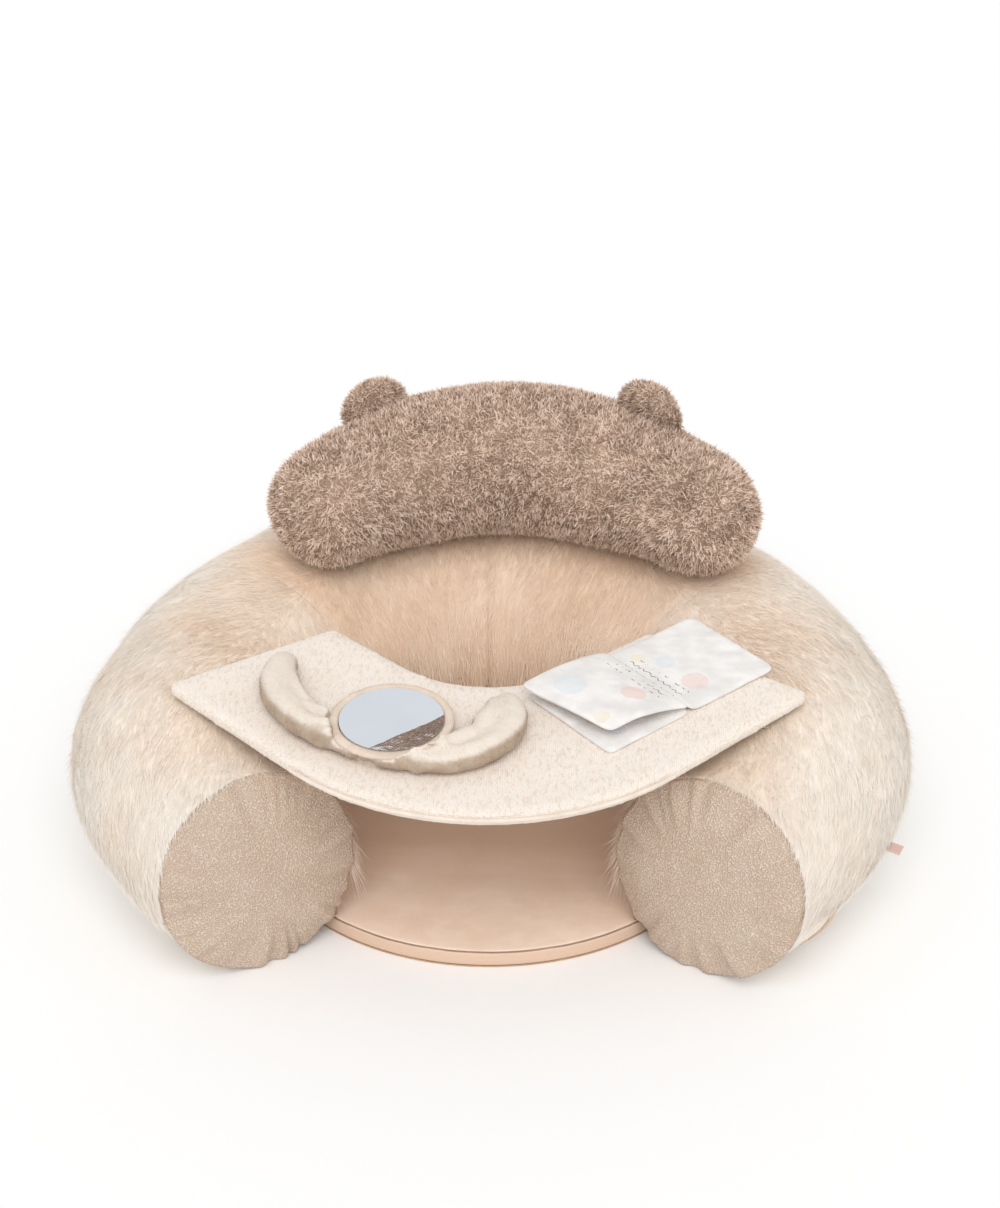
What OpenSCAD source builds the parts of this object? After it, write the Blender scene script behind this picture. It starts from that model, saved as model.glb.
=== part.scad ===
// Baby floor seat: an inflated horseshoe ring in a fur cover, with a floor mat in the middle,
// a crescent headrest on the back, a play tray across the arms, a soft mirror toy and a cloth book.
// Millimetres. The origin is on the floor at the centre of the ring; the arms point along -Y.

/* [Ring] */
// Width of the seat over both arms
seat_w = 700; // [640:5:760]
// Radius of the covered tube at the sides of the seat
side_r = 103; // [95:1:110]
// Radius of the covered tube at the back
back_r = 115; // [104:1:120]
// Radius of the covered tube at its front ends
foot_r = 85.5; // [76:0.5:92]
// Height of the tube at the sides as a share of its width
side_flat = 0.915; // [0.88:0.005:1]
// Height of the tube at the back as a share of its width
back_flat = 0.925; // [0.88:0.005:1]
// Height of the tube at its front ends as a share of its width
foot_flat = 0.95; // [0.9:0.005:1]
// Angle that each arm runs on past the seat's side, towards the front
arm_sweep = 44.9; // [38:0.1:50]
// Lean of each front end, backwards
foot_tilt = 7.1; // [0:0.1:12]
// Turn of each front end, outwards
foot_yaw = 7.9; // [0:0.1:12]

/* [Cover] */
// Height that the fur's pile stands above the smooth panels
pile = 4; // [2:0.5:6]
// Thickness of the cover's padded cloth
cloth_t = 6; // [4:0.5:8]
// Angle of the fur's outer hem below the tube's middle
hem_out = 12; // [8:1:16]
// Angle of the fur's inner hem below the tube's middle
hem_in = 10; // [6:1:16]
// Angle of the slit between the hem and the panel below it
hem_slit = 1; // [0.8:0.1:1.4]
// Bulge of each domed front end
foot_dome = 17; // [10:1:24]
// Thickness of a front end's cloth
foot_cloth_t = 3; // [2:0.5:4]
// Width of the bound seam across the outer panels
binding_w = 5; // [3:0.5:8]
// Thickness of the bound seam
binding_t = 1.2; // [0.8:0.1:2]
// Length of the loop tag outside the hem
tag_len = 9; // [6:1:14]
// Width of the loop tag
tag_w = 13; // [8:1:18]

/* [Air chamber] */
// Thickness of the welded film
film_t = 0.8; // [0.5:0.1:1.2]
// Place of the valve round the ring
valve_at = 100; // [100:10:110]
// Angle of the valve below the tube's middle
valve_down = 45; // [36:1:52]
// Radius of the valve's flange
flange_r = 13; // [11:0.5:15]
// Radius of the valve's stem
stem_r = 7.5; // [6.5:0.1:9]
// Height of the stem above its flange
stem_h = 8; // [6:0.5:9]
// Radius of the stem's bore
bore_r = 4.5; // [3.5:0.1:5]
// Depth of the plug in the bore
plug_len = 6; // [4:0.5:7]
// Thickness of the cap on the plug
cap_t = 2.5; // [2:0.1:4]

/* [Zip] */
// Angle that the zip runs round the back of the seat
zip_span = 58; // [40:2:58]
// Width of the zip's tape between the panels
zip_tape_w = 16; // [14:0.5:18]
// Thickness of the tape
zip_tape_t = 1.2; // [0.8:0.1:1.6]
// Width of the closed coil
coil_w = 4.4; // [3:0.1:5]
// Height of the closed coil above the tape
coil_h = 1.8; // [1.2:0.1:2.2]
// Length of the slider
slider_len = 11; // [8:0.5:14]
// Wall of the slider round the coil
slider_wall = 1.6; // [1.2:0.1:2]
// Length of the pull
pull_len = 18; // [12:1:24]

/* [Floor mat] */
// How far the mat's edge lies inside the ring's middle line
mat_in = 60; // [53:1:67]
// Thickness of the mat over all
mat_t = 14; // [12:0.5:15]
// Thickness of each of its cloths
mat_cloth_t = 1.2; // [0.8:0.1:2]

/* [Headrest] */
// Height of the pillow's middle above the top of the fur
head_up = 57.5; // [54:0.5:61]
// Drop of the pillow's ends from its middle
head_drop = 18; // [12:1:24]
// How far the pillow's middle lies inside the ring's middle line
head_in = 37; // [31:1:43]
// How much nearer the centre its ends lie
head_ends_in = 2; // [0:1:12]
// How much further out its right end lies, and how much nearer its left end
head_skew = 9; // [0:1:12]
// Half of the pillow's width at its middle
head_half_w = 66; // [58:1:70]
// Half of the pillow's height at its middle
head_half_h = 66; // [62:1:70]
// Half of its width and height where the ends start to round off
head_end_half = 54; // [48:1:58]
// Angle from the pillow's middle to each end
head_reach = 63; // [58:1:68]
// Angle that the pillow sits off the middle of the back, to the right
head_turn = 3.5; // [0:0.5:6]
// Share of that angle where the ends start to round off
head_round_at = 0.76; // [0.7:0.01:0.82]
// How late the pillow narrows towards its ends
head_fullness = 2.2; // [1.8:0.1:2.6]
// Thickness of the pillow's cover
head_cover_t = 4; // [3:0.5:6]
// Radius of an ear
ear_r = 31; // [26:1:36]
// Thickness of an ear
ear_t = 26; // [20:1:30]
// Angle from the pillow's middle to each ear
ear_at = 31; // [27:1:35]
// Height of an ear's centre above the pillow's middle
ear_up = 45; // [41:1:49]
// How much higher the right ear is sewn on
ear_right_up = 5; // [0:1:8]

/* [Tray] */
// Slope of the tray, down towards the front
tray_tilt = 7; // [5:0.5:8.5]
// Thickness of the padded tray
tray_t = 11; // [9:0.5:14]
// Thickness of each of its cloths
tray_cloth_t = 1.4; // [1:0.1:2]
// How far the tray's wing tips reach past the ring's middle line
wing_past = 8; // [0:1:14]
// Distance of the wing tips in front of the ring's centre
wing_y = 79; // [70:1:86]
// Half of the distance between the tray's back corners
back_half = 129; // [124:1:134]
// Distance of the back corners behind the ring's centre
back_y = 4; // [0:1:10]
// Radius of the hollow in the back edge
hollow_r = 102; // [94:1:108]
// Distance from the ring's centre to the bottom of the hollow
hollow_y = 75.5; // [70:0.5:82]
// Half of the chord of the curved front edge
front_half = 146; // [140:1:152]
// Distance of that chord in front of the ring's centre
front_y = 181; // [176:1:188]
// Radius of the curved front edge
front_r = 208.6; // [200:0.2:220]
// Radius of the tray's corners
tray_corner_r = 7; // [4:1:10]
// Radius of the piping
piping_r = 1.7; // [1.2:0.1:2.2]
// Thickness of a hook or loop strip
strip_t = 1; // [0.8:0.1:1.5]
// Width of a hook or loop strip
strip_w = 24; // [16:1:26]
// Angle that a strip runs along the arm
strip_span = 9; // [6:0.5:9]
// Angle from the seat's side to a strip's front end
strip_at = 26; // [25:0.5:27]
// How far a strip's middle lies inside the ring's middle line
strip_in = 15; // [12:1:20]

/* [Mirror toy] */
// Place of the mirror's centre from the ring's centre, to the left
toy_x = 70; // [68:1:74]
// Place of the mirror's centre in front of the ring's centre
toy_y = 145; // [142:1:149]
// Radius of the mirror with its rim
mirror_r = 48; // [44:1:50]
// Width of the rim round the mirror sheet
rim_w = 8; // [6:0.5:10]
// Thickness of the rim
rim_t = 5; // [4:0.5:6]
// Height of the mirror sheet above the tray
mirror_up = 15; // [13:0.5:18]
// Thickness of the mirror sheet
mirror_t = 1; // [0.8:0.1:1.6]
// Distance between the crescent's tips, measured across the seat
moon_span = 167; // [160:1:170]
// Half of the crescent's width in its lobes
moon_half_w = 19; // [16:0.5:20]
// How much narrower half of its width is under the mirror
moon_waist = 7; // [4:0.5:9]
// Height of the crescent in its lobes
moon_h = 26; // [22:1:30]

/* [Book] */
// Place of the spine's middle, right of the ring's centre
book_x = 126.5; // [122:0.5:130]
// Place of the spine's middle in front of the ring's centre
book_y = 76; // [74:1:80]
// Turn of the book on the tray
book_turn = 41; // [36:1:44]
// Length of a page from the spine
page_len = 93; // [84:1:96]
// Length of the front page from the spine
front_len = 83; // [76:1:85]
// Width of a page along the spine
page_w = 96; // [86:1:98]
// Thickness of a padded page
page_t = 4; // [3:0.5:5]
// Angle at which the middle page stands off the front page
page_lift = 7; // [6:0.5:12]
// Radius of a page's corners
page_corner_r = 6; // [3:1:10]

/* [Hidden] */
// Running gap between soft pieces
gap = 0.3;
// Height of the tube's underside: it rests on the underside cloth
lift = mat_cloth_t + gap;
// Radius of the ring's middle line
ring_R = seat_w / 2 - side_r;
mat_r = ring_R - mat_in;
// The tube has one even section over this angle either side of the back's middle
even_back = 30;
// Angle over which an arm's end leans and turns
end_blend = 30;
// Where the cover's right arm meets its back
seam_at = 30;
// Stations along the ring
arm_steps = 5;
step_deg = 10;
arm_angles = [for (i = [0:arm_steps]) -arm_sweep * (1 - i / arm_steps)];
right_angles = concat(arm_angles, [for (a = [step_deg:step_deg:seam_at]) a]);
back_angles = [for (a = [seam_at:step_deg:180 - seam_at]) a];
all_angles = concat(arm_angles, [for (a = [step_deg:step_deg:180 - step_deg]) a],
    [for (i = [arm_steps:-1:0]) 180 - arm_angles[i]]);
// The cloth's flat facets dip below its round by this much at most, and the film keeps clear of it
cloth_step = 17;
facet_dip = max(side_r, back_r) * (1 - cos(cloth_step / 2));
// Depths below the smooth panels' face
film_face = -cloth_t - facet_dip - gap;
foot_face = pile - 0.5;
// Colours
cream_fur = [0.93, 0.87, 0.79];
cream = [0.92, 0.87, 0.80];
tan_cloth = [0.84, 0.73, 0.64];
taupe = [0.68, 0.58, 0.49];
dark_taupe = [0.55, 0.45, 0.37];
oat = [0.90, 0.86, 0.78];
film = [0.80, 0.84, 0.88];
$fn = 48;

// ---- The ring's shape ----

function smooth(t) = let (u = min(max(t, 0), 1)) u * u * (3 - 2 * u);
function mixed(p, q, t) = p + (q - p) * t;
// The seat is the same on both sides: an angle on the left is read from the right
function folded(a) = a > 90 ? 180 - a : a;
// A value that runs from the foot to the side and on to the back
function along(a, foot, side, back) =
    let (b = folded(a))
    b < 0 ? mixed(foot, side, smooth(1 + b / arm_sweep))
          : mixed(side, back, smooth(b / (90 - even_back)));
// Radius of the smooth panels' face, and flatness, at one place along the ring
function tube_r(a) = along(a, foot_r, side_r, back_r) - pile;
function tube_flat(a) = along(a, foot_flat, side_flat, back_flat);
function tube_z(a) = lift + tube_flat(a) * tube_r(a);
// Top of the fur at one place along the ring
function fur_top(a) = tube_z(a) + tube_flat(a) * (tube_r(a) + pile);
function along_ring(a) = [-sin(a), cos(a), 0];
function inwards(a) = a < 90 ? 1 : -1;
function end_share(a) = 1 - smooth((folded(a) + arm_sweep) / end_blend);
// A point across and up from the tube's middle, with the ends leaned and turned
function at_tube(a, across, up) =
    [(ring_R + across) * cos(a), (ring_R + across) * sin(a), tube_z(a) + up]
    + inwards(a) * end_share(a) * (up * tan(foot_tilt) + across * tan(foot_yaw)) * along_ring(a);
// A point on the tube: s is its angle round the section, d its depth from the panels' face
function on_tube(a, s, d) =
    let (r = tube_r(a) + d)
    at_tube(a, r * cos(s), tube_flat(a) * r * sin(s));
function spaced(from, to, n) = [for (i = [0:n]) from + (to - from) * i / n];
// One section of a cloth band: its face and then its back, the other way
function band_loop(a, ss, face, back) =
    let (n = len(ss))
    [for (s = ss) on_tube(a, s, face), for (i = [n - 1:-1:0]) on_tube(a, ss[i], back)];

// ---- Solids from rings of points ----

function side_faces(n, m) = [for (i = [0:n - 2], j = [0:m - 1])
    let (k = (j + 1) % m)
    each [[i * m + j, i * m + k, i * m + m + k], [i * m + j, i * m + m + k, i * m + m + j]]];
// Ends of a band: its face and back are joined pair by pair
function band_ends(n, m) = let (e = (n - 1) * m) [for (j = [0:m / 2 - 2])
    each [[j + 1, j, m - 1 - j], [j + 1, m - 1 - j, m - 2 - j],
        [e + j, e + j + 1, e + m - 2 - j], [e + j, e + m - 2 - j, e + m - 1 - j]]];
// Ends that close on one point each
function pole_ends(n, m) = let (e = (n - 1) * m, p = n * m) [for (j = [0:m - 1])
    let (k = (j + 1) % m)
    each [[k, j, p], [e + j, e + k, p + 1]]];

module band_solid(loops) {
    n = len(loops);
    m = len(loops[0]);
    polyhedron([for (l = loops) each l], concat(side_faces(n, m), band_ends(n, m)));
}

module closed_solid(loops, first, last) {
    n = len(loops);
    m = len(loops[0]);
    polyhedron(concat([for (l = loops) each l], [first, last]),
        concat(side_faces(n, m), pole_ends(n, m)));
}

module both_sides() {
    children();
    mirror([1, 0, 0]) children();
}

// ---- Cover ----

fur_ss = spaced(-hem_out, 180 + hem_in, 12);

module fur(angles) {
    color(cream_fur) band_solid([for (a = angles) band_loop(a, fur_ss, pile, -cloth_t)]);
}

module fur_arm_right() fur(right_angles);

module fur_back() fur(back_angles);

module fur_arm_left() mirror([1, 0, 0]) fur(right_angles);

// The panels below the fur: outside they leave room for the zip, inside they end at the mat
zip_play = 0.6;
zip_slot = (zip_tape_w + 2 * zip_play) / (tube_flat(90) * (tube_r(90) - cloth_t)) * 180 / PI;
function in_zip(a) = abs(a - 90) <= even_back ? 1 : 0;
function panel_top(a) = -hem_out - mixed(hem_slit, zip_slot, in_zip(a));
function mat_s(a, out) = acos((ring_R - mat_r - out) / tube_r(a)) - 180;

module velour(angles) {
    color(cream) band_solid([for (a = angles)
        band_loop(a, spaced(mat_s(a, gap), panel_top(a), 6), 0, -cloth_t)]);
}

module velour_panel_right() velour(right_angles);

module velour_panel_left() mirror([1, 0, 0]) velour(right_angles);

// Hole in the back panel for the valve's flange
valve_hole_r = flange_r + gap;

module velour_panel_back() color(cream) difference() {
    velour(back_angles);
    at_valve() translate([0, 0, -cloth_t]) cylinder(r = valve_hole_r, h = 4 * cloth_t);
}

// The wall of the well hangs from the inner hem down to the mat
wall_ss_n = 5;
wall_in = 6;

function wall_loop(a) =
    let (ss = spaced(180 + hem_in + hem_slit, 360 + mat_s(a, gap) - wall_in, wall_ss_n),
        low = last_of(ss),
        foot = on_tube(a, low, 0),
        out = [cos(a), sin(a), 0] * cloth_t * 0.9,
        floor_z = mat_t + gap)
    [for (s = ss) on_tube(a, s, 0), [foot.x, foot.y, floor_z],
        [foot.x, foot.y, floor_z] + out, for (i = [wall_ss_n:-1:0]) on_tube(a, ss[i], -cloth_t)];
function last_of(list) = list[len(list) - 1];

module well_wall() color(tan_cloth) band_solid([for (a = all_angles) wall_loop(a)]);

// A front end is a domed cloth with wadding behind it
foot_steps = 24;
foot_rings = [0.3, 0.55, 0.75, 0.88, 0.96, 1];
// The cloth's back edge is this much smaller than its front edge
foot_lip = 1.5;
dome_power = 2.4;
// It lies flat where it meets the floor
function foot_ring(share, d, out) = [for (i = [0:foot_steps - 1])
    let (r = (tube_r(-arm_sweep) + d) * share, s = 360 * i / foot_steps,
        p = at_tube(-arm_sweep, r * cos(s), tube_flat(-arm_sweep) * r * sin(s))
            - out * along_ring(-arm_sweep))
    [p.x, p.y, max(p.z, 0)]];
function dome_out(share) = foot_dome * (1 - pow(share, dome_power));
function foot_pole(out) = at_tube(-arm_sweep, 0, 0) - out * along_ring(-arm_sweep);

module foot_end() {
    n = len(foot_rings);
    color(taupe) closed_solid(concat(
        [for (q = foot_rings) foot_ring(q, foot_face, gap + foot_cloth_t + dome_out(q))],
        [for (i = [n - 1:-1:0]) foot_ring(foot_rings[i], foot_face - (i == n - 1 ? foot_lip : 0),
            gap + dome_out(foot_rings[i]))]),
        foot_pole(gap + foot_cloth_t + dome_out(0)), foot_pole(gap + dome_out(0)));
}

module foot_end_right() foot_end();

module foot_end_left() mirror([1, 0, 0]) foot_end();

wadding_back = film_t + 2 * gap;
wadding_rings = [0.3, 0.6, 0.8, 0.92];

module foot_wadding() {
    n = len(wadding_rings);
    color("white") closed_solid(concat(
        [for (q = wadding_rings) foot_ring(q, foot_face, dome_out(q))],
        [for (i = [n - 1, 0]) foot_ring(wadding_rings[i], foot_face, wadding_back)]),
        foot_pole(dome_out(0)), foot_pole(wadding_back));
}

module foot_wadding_right() foot_wadding();

module foot_wadding_left() mirror([1, 0, 0]) foot_wadding();

// A bound seam crosses each arm's outer panel one station behind its end, down to the underside
binding_low = -75;
binding_half = binding_w / 2 / ring_R * 180 / PI;

module binding() {
    mid = arm_angles[1];
    color(tan_cloth) band_solid([for (a = [mid - binding_half, mid, mid + binding_half])
        band_loop(a, spaced(binding_low, panel_top(a) - 0.5, 8), binding_t + gap, gap)]);
}

module binding_right() binding();

module binding_left() mirror([1, 0, 0]) binding();

tag_at = -19;
tag_half = tag_w / 2 / (ring_R + side_r) * 180 / PI;

module loop_tag() {
    color([0.86, 0.72, 0.68]) band_solid([for (a = [tag_at - tag_half, tag_at + tag_half])
        band_loop(a, [-hem_out - hem_slit * 0.75, -hem_out - hem_slit * 0.25],
            tag_len + pile, -cloth_t / 2)]);
}

// ---- Air chamber ----

film_facets = 10;

module chamber_half(from, to) {
    color(film) band_solid([for (a = all_angles)
        band_loop(a, spaced(from, to, film_facets), film_face, film_face - film_t)]);
}

module chamber_top() chamber_half(0, 180);

module chamber_bottom() chamber_half(180, 360);

module chamber_end() color(film) closed_solid(
    [foot_ring(1, film_face, gap / 2 + film_t), foot_ring(1, film_face, gap / 2)],
    foot_pole(gap / 2 + film_t), foot_pole(gap / 2));

module chamber_end_right() chamber_end();

module chamber_end_left() mirror([1, 0, 0]) chamber_end();

// The valve stands on the flat of one facet of the film, on the line of one station
film_step = 180 / film_facets;
off_flat = valve_down % film_step - film_step / 2;
valve_r = (tube_r(valve_at) + film_face) * cos(film_step / 2) / cos(off_flat)
    + flange_r * sin(abs(off_flat));
valve_flat = tube_flat(valve_at);
valve_lean = atan2(sin(-valve_down) / valve_flat, cos(valve_down));
flange_t = 1.5;
flap_t = 0.6;

module at_valve() rotate([0, 0, valve_at])
    translate([ring_R + valve_r * cos(valve_down), 0,
        tube_z(valve_at) - valve_flat * valve_r * sin(valve_down)])
    rotate([0, 90 - valve_lean, 0]) translate([0, 0, gap / 2]) children();

module valve_stem() color(film) at_valve() difference() {
    union() {
        cylinder(r = flange_r, h = flange_t);
        cylinder(r = stem_r, h = stem_h);
    }
    translate([0, 0, flap_t + 2 * gap]) cylinder(r = bore_r, h = stem_h);
}

module valve_flap() color("white") at_valve() translate([0, 0, flap_t + 2.5 * gap])
    cylinder(r = bore_r - gap, h = flap_t);

plug_clearance = 0.05;

module valve_plug() color("white") at_valve() {
    translate([0, 0, stem_h - plug_len + gap]) cylinder(r = bore_r - plug_clearance, h = plug_len);
    translate([0, 0, stem_h + gap]) cylinder(r = stem_r, h = cap_t);
}

// ---- Zip: it follows true arcs in the even stretch of the back ----

zip_down = hem_out + zip_slot / 2;
zip_r = tube_r(90) - cloth_t / 2 - zip_tape_t;
zip_lean = atan2(sin(zip_down) / tube_flat(90), cos(zip_down));
zip_from = 90 - zip_span / 2;
slider_room = coil_w / 2 + gap;
slider_top = zip_tape_t / 2 + coil_h + gap;
slider_deg = slider_len / ring_R * 180 / PI * 0.7;
pull_deg = pull_len / ring_R * 180 / PI * 0.7;
pull_half_w = 2.5;
pull_t = 1.2;

// A flat outline near the zip: x stands out from the tape, y runs up across it
module zip_arc(from, span) rotate([0, 0, from]) rotate_extrude(angle = span, $fn = 180)
    translate([ring_R + zip_r * cos(zip_down), tube_z(90) - tube_flat(90) * zip_r * sin(zip_down)])
    rotate(-zip_lean) children();

module zip_tape() color(tan_cloth) zip_arc(zip_from, zip_span)
    square([zip_tape_t, zip_tape_w], center = true);

module zip_coil() color(cream) zip_arc(zip_from, zip_span)
    translate([zip_tape_t / 2, -coil_w / 2]) square([coil_h, coil_w]);

module zip_slider() color(taupe) zip_arc(zip_from + 0.5, slider_deg) difference() {
    translate([zip_tape_t / 2 + gap, -slider_room - slider_wall])
        square([coil_h + slider_wall, 2 * (slider_room + slider_wall)]);
    translate([0, -slider_room]) square([slider_top, 2 * slider_room]);
}

module zip_pull() color(taupe) zip_arc(zip_from + 0.5 + slider_deg * 0.5, pull_deg)
    translate([slider_top + slider_wall + gap, -pull_half_w]) square([pull_t, 2 * pull_half_w]);

// ---- Floor mat ----

band_t = 1.2;

module mat_top() color(tan_cloth) translate([0, 0, mat_t - mat_cloth_t])
    cylinder(r = mat_r, h = mat_cloth_t, $fn = 96);

module mat_foam() color("white") translate([0, 0, mat_cloth_t])
    cylinder(r = mat_r - band_t, h = mat_t - 2 * mat_cloth_t, $fn = 96);

module mat_band() color(tan_cloth) translate([0, 0, mat_cloth_t]) difference() {
    cylinder(r = mat_r, h = mat_t - 2 * mat_cloth_t, $fn = 96);
    translate([0, 0, -1]) cylinder(r = mat_r - band_t, h = mat_t, $fn = 96);
}

// The underside's cloth reaches this far past the line on which the tube stands
sole_out = 12;

module underside() color(tan_cloth) {
    cylinder(r = mat_r, h = mat_cloth_t, $fn = 96);
    rotate([0, 0, -arm_sweep]) rotate_extrude(angle = 180 + 2 * arm_sweep, $fn = 96)
        translate([mat_r - 1, 0]) square([mat_in + sole_out + 1, mat_cloth_t]);
}

// ---- Headrest ----

head_ring_r = ring_R - head_in;
head_z = fur_top(90) + head_up;
head_steps = 20;
head_sides = 14;
head_gap = 0.7;
function head_angle(t) = 90 - head_turn + t * head_reach;
function head_across(t) = head_ring_r - ring_R - head_ends_in * smooth(abs(t))
    - head_skew * sign(t) * smooth(abs(t));
function head_share(t) = abs(t) <= head_round_at ? 1
    : sqrt(max(0, 1 - pow((abs(t) - head_round_at) / (1 - head_round_at), 2)));
// Stations crowd towards the rounded ends
function head_t(i) = let (u = 2 * i / head_steps - 1) sign(u) * (1 - pow(1 - abs(u), 1.5));
pole_off = 6;
// Keeps a point of the section off the tube by a given distance
function off_tube(a, across, up, off) =
    let (reach = norm([across, up / tube_flat(a)]), least = tube_r(a) + pile + off)
    reach < least ? [across, up] * least / reach : [across, up];
function head_loop(t, inset) =
    let (a = head_angle(t),
        taper = pow(smooth(abs(t) / head_round_at), head_fullness),
        share = head_share(t),
        half_w = (mixed(head_half_w, head_end_half, taper) - inset) * share,
        half_h = (mixed(head_half_h, head_end_half, taper) - inset) * share,
        across = head_across(t),
        up = head_z - head_drop * smooth(abs(t)) - tube_z(a))
    [for (j = [0:head_sides - 1])
        let (s = 360 * j / head_sides,
            p = off_tube(a, across + half_w * cos(s), up + half_h * sin(s), head_gap + inset))
        at_tube(a, p.x, p.y)];
function head_pole(t) =
    let (a = head_angle(t),
        p = off_tube(a, head_across(t), head_z - head_drop - tube_z(a), pole_off))
    at_tube(a, p.x, p.y);

module headrest(inset) {
    ts = [for (i = [1:head_steps - 1]) head_t(i) * (1 - inset / head_ring_r)];
    closed_solid([for (t = ts) head_loop(t, inset)], head_pole(ts[0] - 0.012),
        head_pole(last_of(ts) + 0.012));
}

module headrest_cover() color(dark_taupe) difference() {
    headrest(0);
    headrest(head_cover_t);
}

module headrest_filling() color("white") headrest(head_cover_t + gap);

// An ear is a plump disc, cut away where it meets the pillow
ear_lean = 12;
ear_points = 8;
ear_back = 25;

module ear(side) color(dark_taupe) difference() {
    rotate([0, 0, 90 - head_turn + side * ear_at])
        translate([head_ring_r + ear_back, 0, head_z + ear_up + (side < 0 ? ear_right_up : 0)])
        rotate([0, 90 - ear_lean, 0]) rotate_extrude($fn = 32)
        polygon([for (i = [0:ear_points]) let (s = 180 * i / ear_points - 90)
            [ear_r * pow(cos(s), 0.8), ear_t / 2 * sin(s)]]);
    headrest(-gap);
}

module ear_right() ear(-1);

module ear_left() ear(1);

// ---- Tray ----

// The tray's underside lies on the hook and loop strips at the highest place along the arms
strip_from = -strip_at;
strip_to = strip_from + strip_span;
tray_z = 2 * strip_t + gap + max([for (a = spaced(strip_from, strip_to, 4))
    fur_top(a) - ring_R * sin(a) * tan(tray_tilt)]);
wing_half = ring_R + wing_past;
hollow_cy = hollow_r - hollow_y;
// The straight back edges leave the hollow's arc as tangents
hollow_dx = back_half;
hollow_dy = back_y - hollow_cy;
hollow_end = atan2(hollow_dy, hollow_dx) - acos(hollow_r / norm([hollow_dx, hollow_dy]));
front_cy = -front_y + sqrt(front_r * front_r - front_half * front_half);
front_end = asin(front_half / front_r);
edge_steps = 16;
tray_outline = concat([[-wing_half, -wing_y], [-back_half, back_y]],
    [for (b = spaced(180 - hollow_end, 360 + hollow_end, edge_steps))
        [hollow_r * cos(b), hollow_cy + hollow_r * sin(b)]],
    [[back_half, back_y], [wing_half, -wing_y]],
    [for (b = spaced(front_end, -front_end, edge_steps))
        [front_r * sin(b), front_cy - front_r * cos(b)]]);

module on_tray(up = 0) translate([0, 0, tray_z]) rotate([tray_tilt, 0, 0])
    translate([0, 0, up]) children();

module tray_shape(inset) offset(delta = -inset) offset(r = tray_corner_r, $fn = 24)
    offset(delta = -tray_corner_r) polygon(tray_outline);

// The cover's sides reach down to the underside cloth, and its top edge is soft
tray_soft = 1;

module tray_cover() color(oat) on_tray(tray_cloth_t) difference() {
    union() {
        linear_extrude(tray_t - tray_cloth_t - tray_soft) tray_shape(0);
        linear_extrude(tray_t - tray_cloth_t) tray_shape(tray_soft * 1.5);
    }
    translate([0, 0, -1]) linear_extrude(tray_t - 2 * tray_cloth_t + 1)
        tray_shape(tray_cloth_t);
}

module tray_foam() color("white") on_tray(tray_cloth_t + gap / 2)
    linear_extrude(tray_t - 2 * tray_cloth_t - gap) tray_shape(tray_cloth_t + gap);

module tray_underside() color(oat) on_tray() linear_extrude(tray_cloth_t) tray_shape(0);

module tray_piping() color(cream) on_tray(tray_t - piping_r - tray_soft)
    translate([0, front_cy, 0]) rotate([0, 0, -90 - front_end + 1.5])
    rotate_extrude(angle = 2 * front_end - 3, $fn = 96)
    translate([front_r + piping_r + 0.1, 0]) circle(r = piping_r, $fn = 16);

module strip_arc(right) rotate([0, 0, right ? strip_from : 180 - strip_to])
    rotate_extrude(angle = strip_span, $fn = 96)
    translate([ring_R - strip_in - strip_w / 2, 0]) square([strip_w, strip_t]);

module tray_hook_strips() color(cream) on_tray(-strip_t) {
    strip_arc(true);
    strip_arc(false);
}

module arm_loop_strips() color(cream) both_sides() {
    half = strip_w / 2 / side_r * 180 / PI;
    band_solid([for (a = spaced(strip_from, strip_to, 2))
        let (mid = acos(-strip_in / (tube_r(a) + pile)))
        band_loop(a, spaced(mid - half, mid + half, 4), pile + strip_t, pile + gap / 3)]);
}

// ---- Mirror toy ----

moon_steps = 26;
moon_sides = 12;
// Height of the crescent's widest line above the tray
moon_belly = 9;
// The crescent's middle line from the mirror's centre, for tips one unit apart: a cubic curve
// from the left tip round under the mirror to the right tip
moon_curve = [[-0.51, 0.52], [-0.69, -0.18], [0.66, -0.6], [0.49, 0.25]];
waist_at = 0.42;
waist_long = 0.16;
function on_curve(t) = moon_span * (pow(1 - t, 3) * moon_curve[0]
    + 3 * t * pow(1 - t, 2) * moon_curve[1] + 3 * t * t * (1 - t) * moon_curve[2]
    + pow(t, 3) * moon_curve[3]);
function curve_side(t) =
    let (d = on_curve(t + 0.01) - on_curve(t - 0.01))
    [-d.y, d.x] / norm(d);
function in_waist(t) = exp(-pow((t - waist_at) / waist_long, 2));
function moon_share(t) = pow(max(0, 1 - pow(abs(2 * t - 1), 10)), 0.5);
function moon_loop(t) =
    let (share = moon_share(t),
        w = (moon_half_w - moon_waist * in_waist(t)) * share,
        h = moon_h - moon_belly,
        p = on_curve(t),
        n = curve_side(t))
    [for (j = [0:moon_sides - 1])
        let (s = 360 * j / moon_sides,
            q = p - n * w * cos(s))
        [q.x, q.y, moon_belly + (sin(s) > 0 ? h : moon_belly) * sin(s) * share]];
function moon_pole(t) = let (p = on_curve(t)) [p.x, p.y, moon_belly];
function moon_t(i) = (1 - cos(180 * i / moon_steps)) / 2;

module on_toy() on_tray(tray_t + gap) translate([-toy_x, -toy_y, 0]) children();

// The mirror lies in the crescent's hollow and over its waist
backing_r = mirror_r - rim_w;
rim_low = mirror_up + mirror_t - rim_t;

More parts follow.
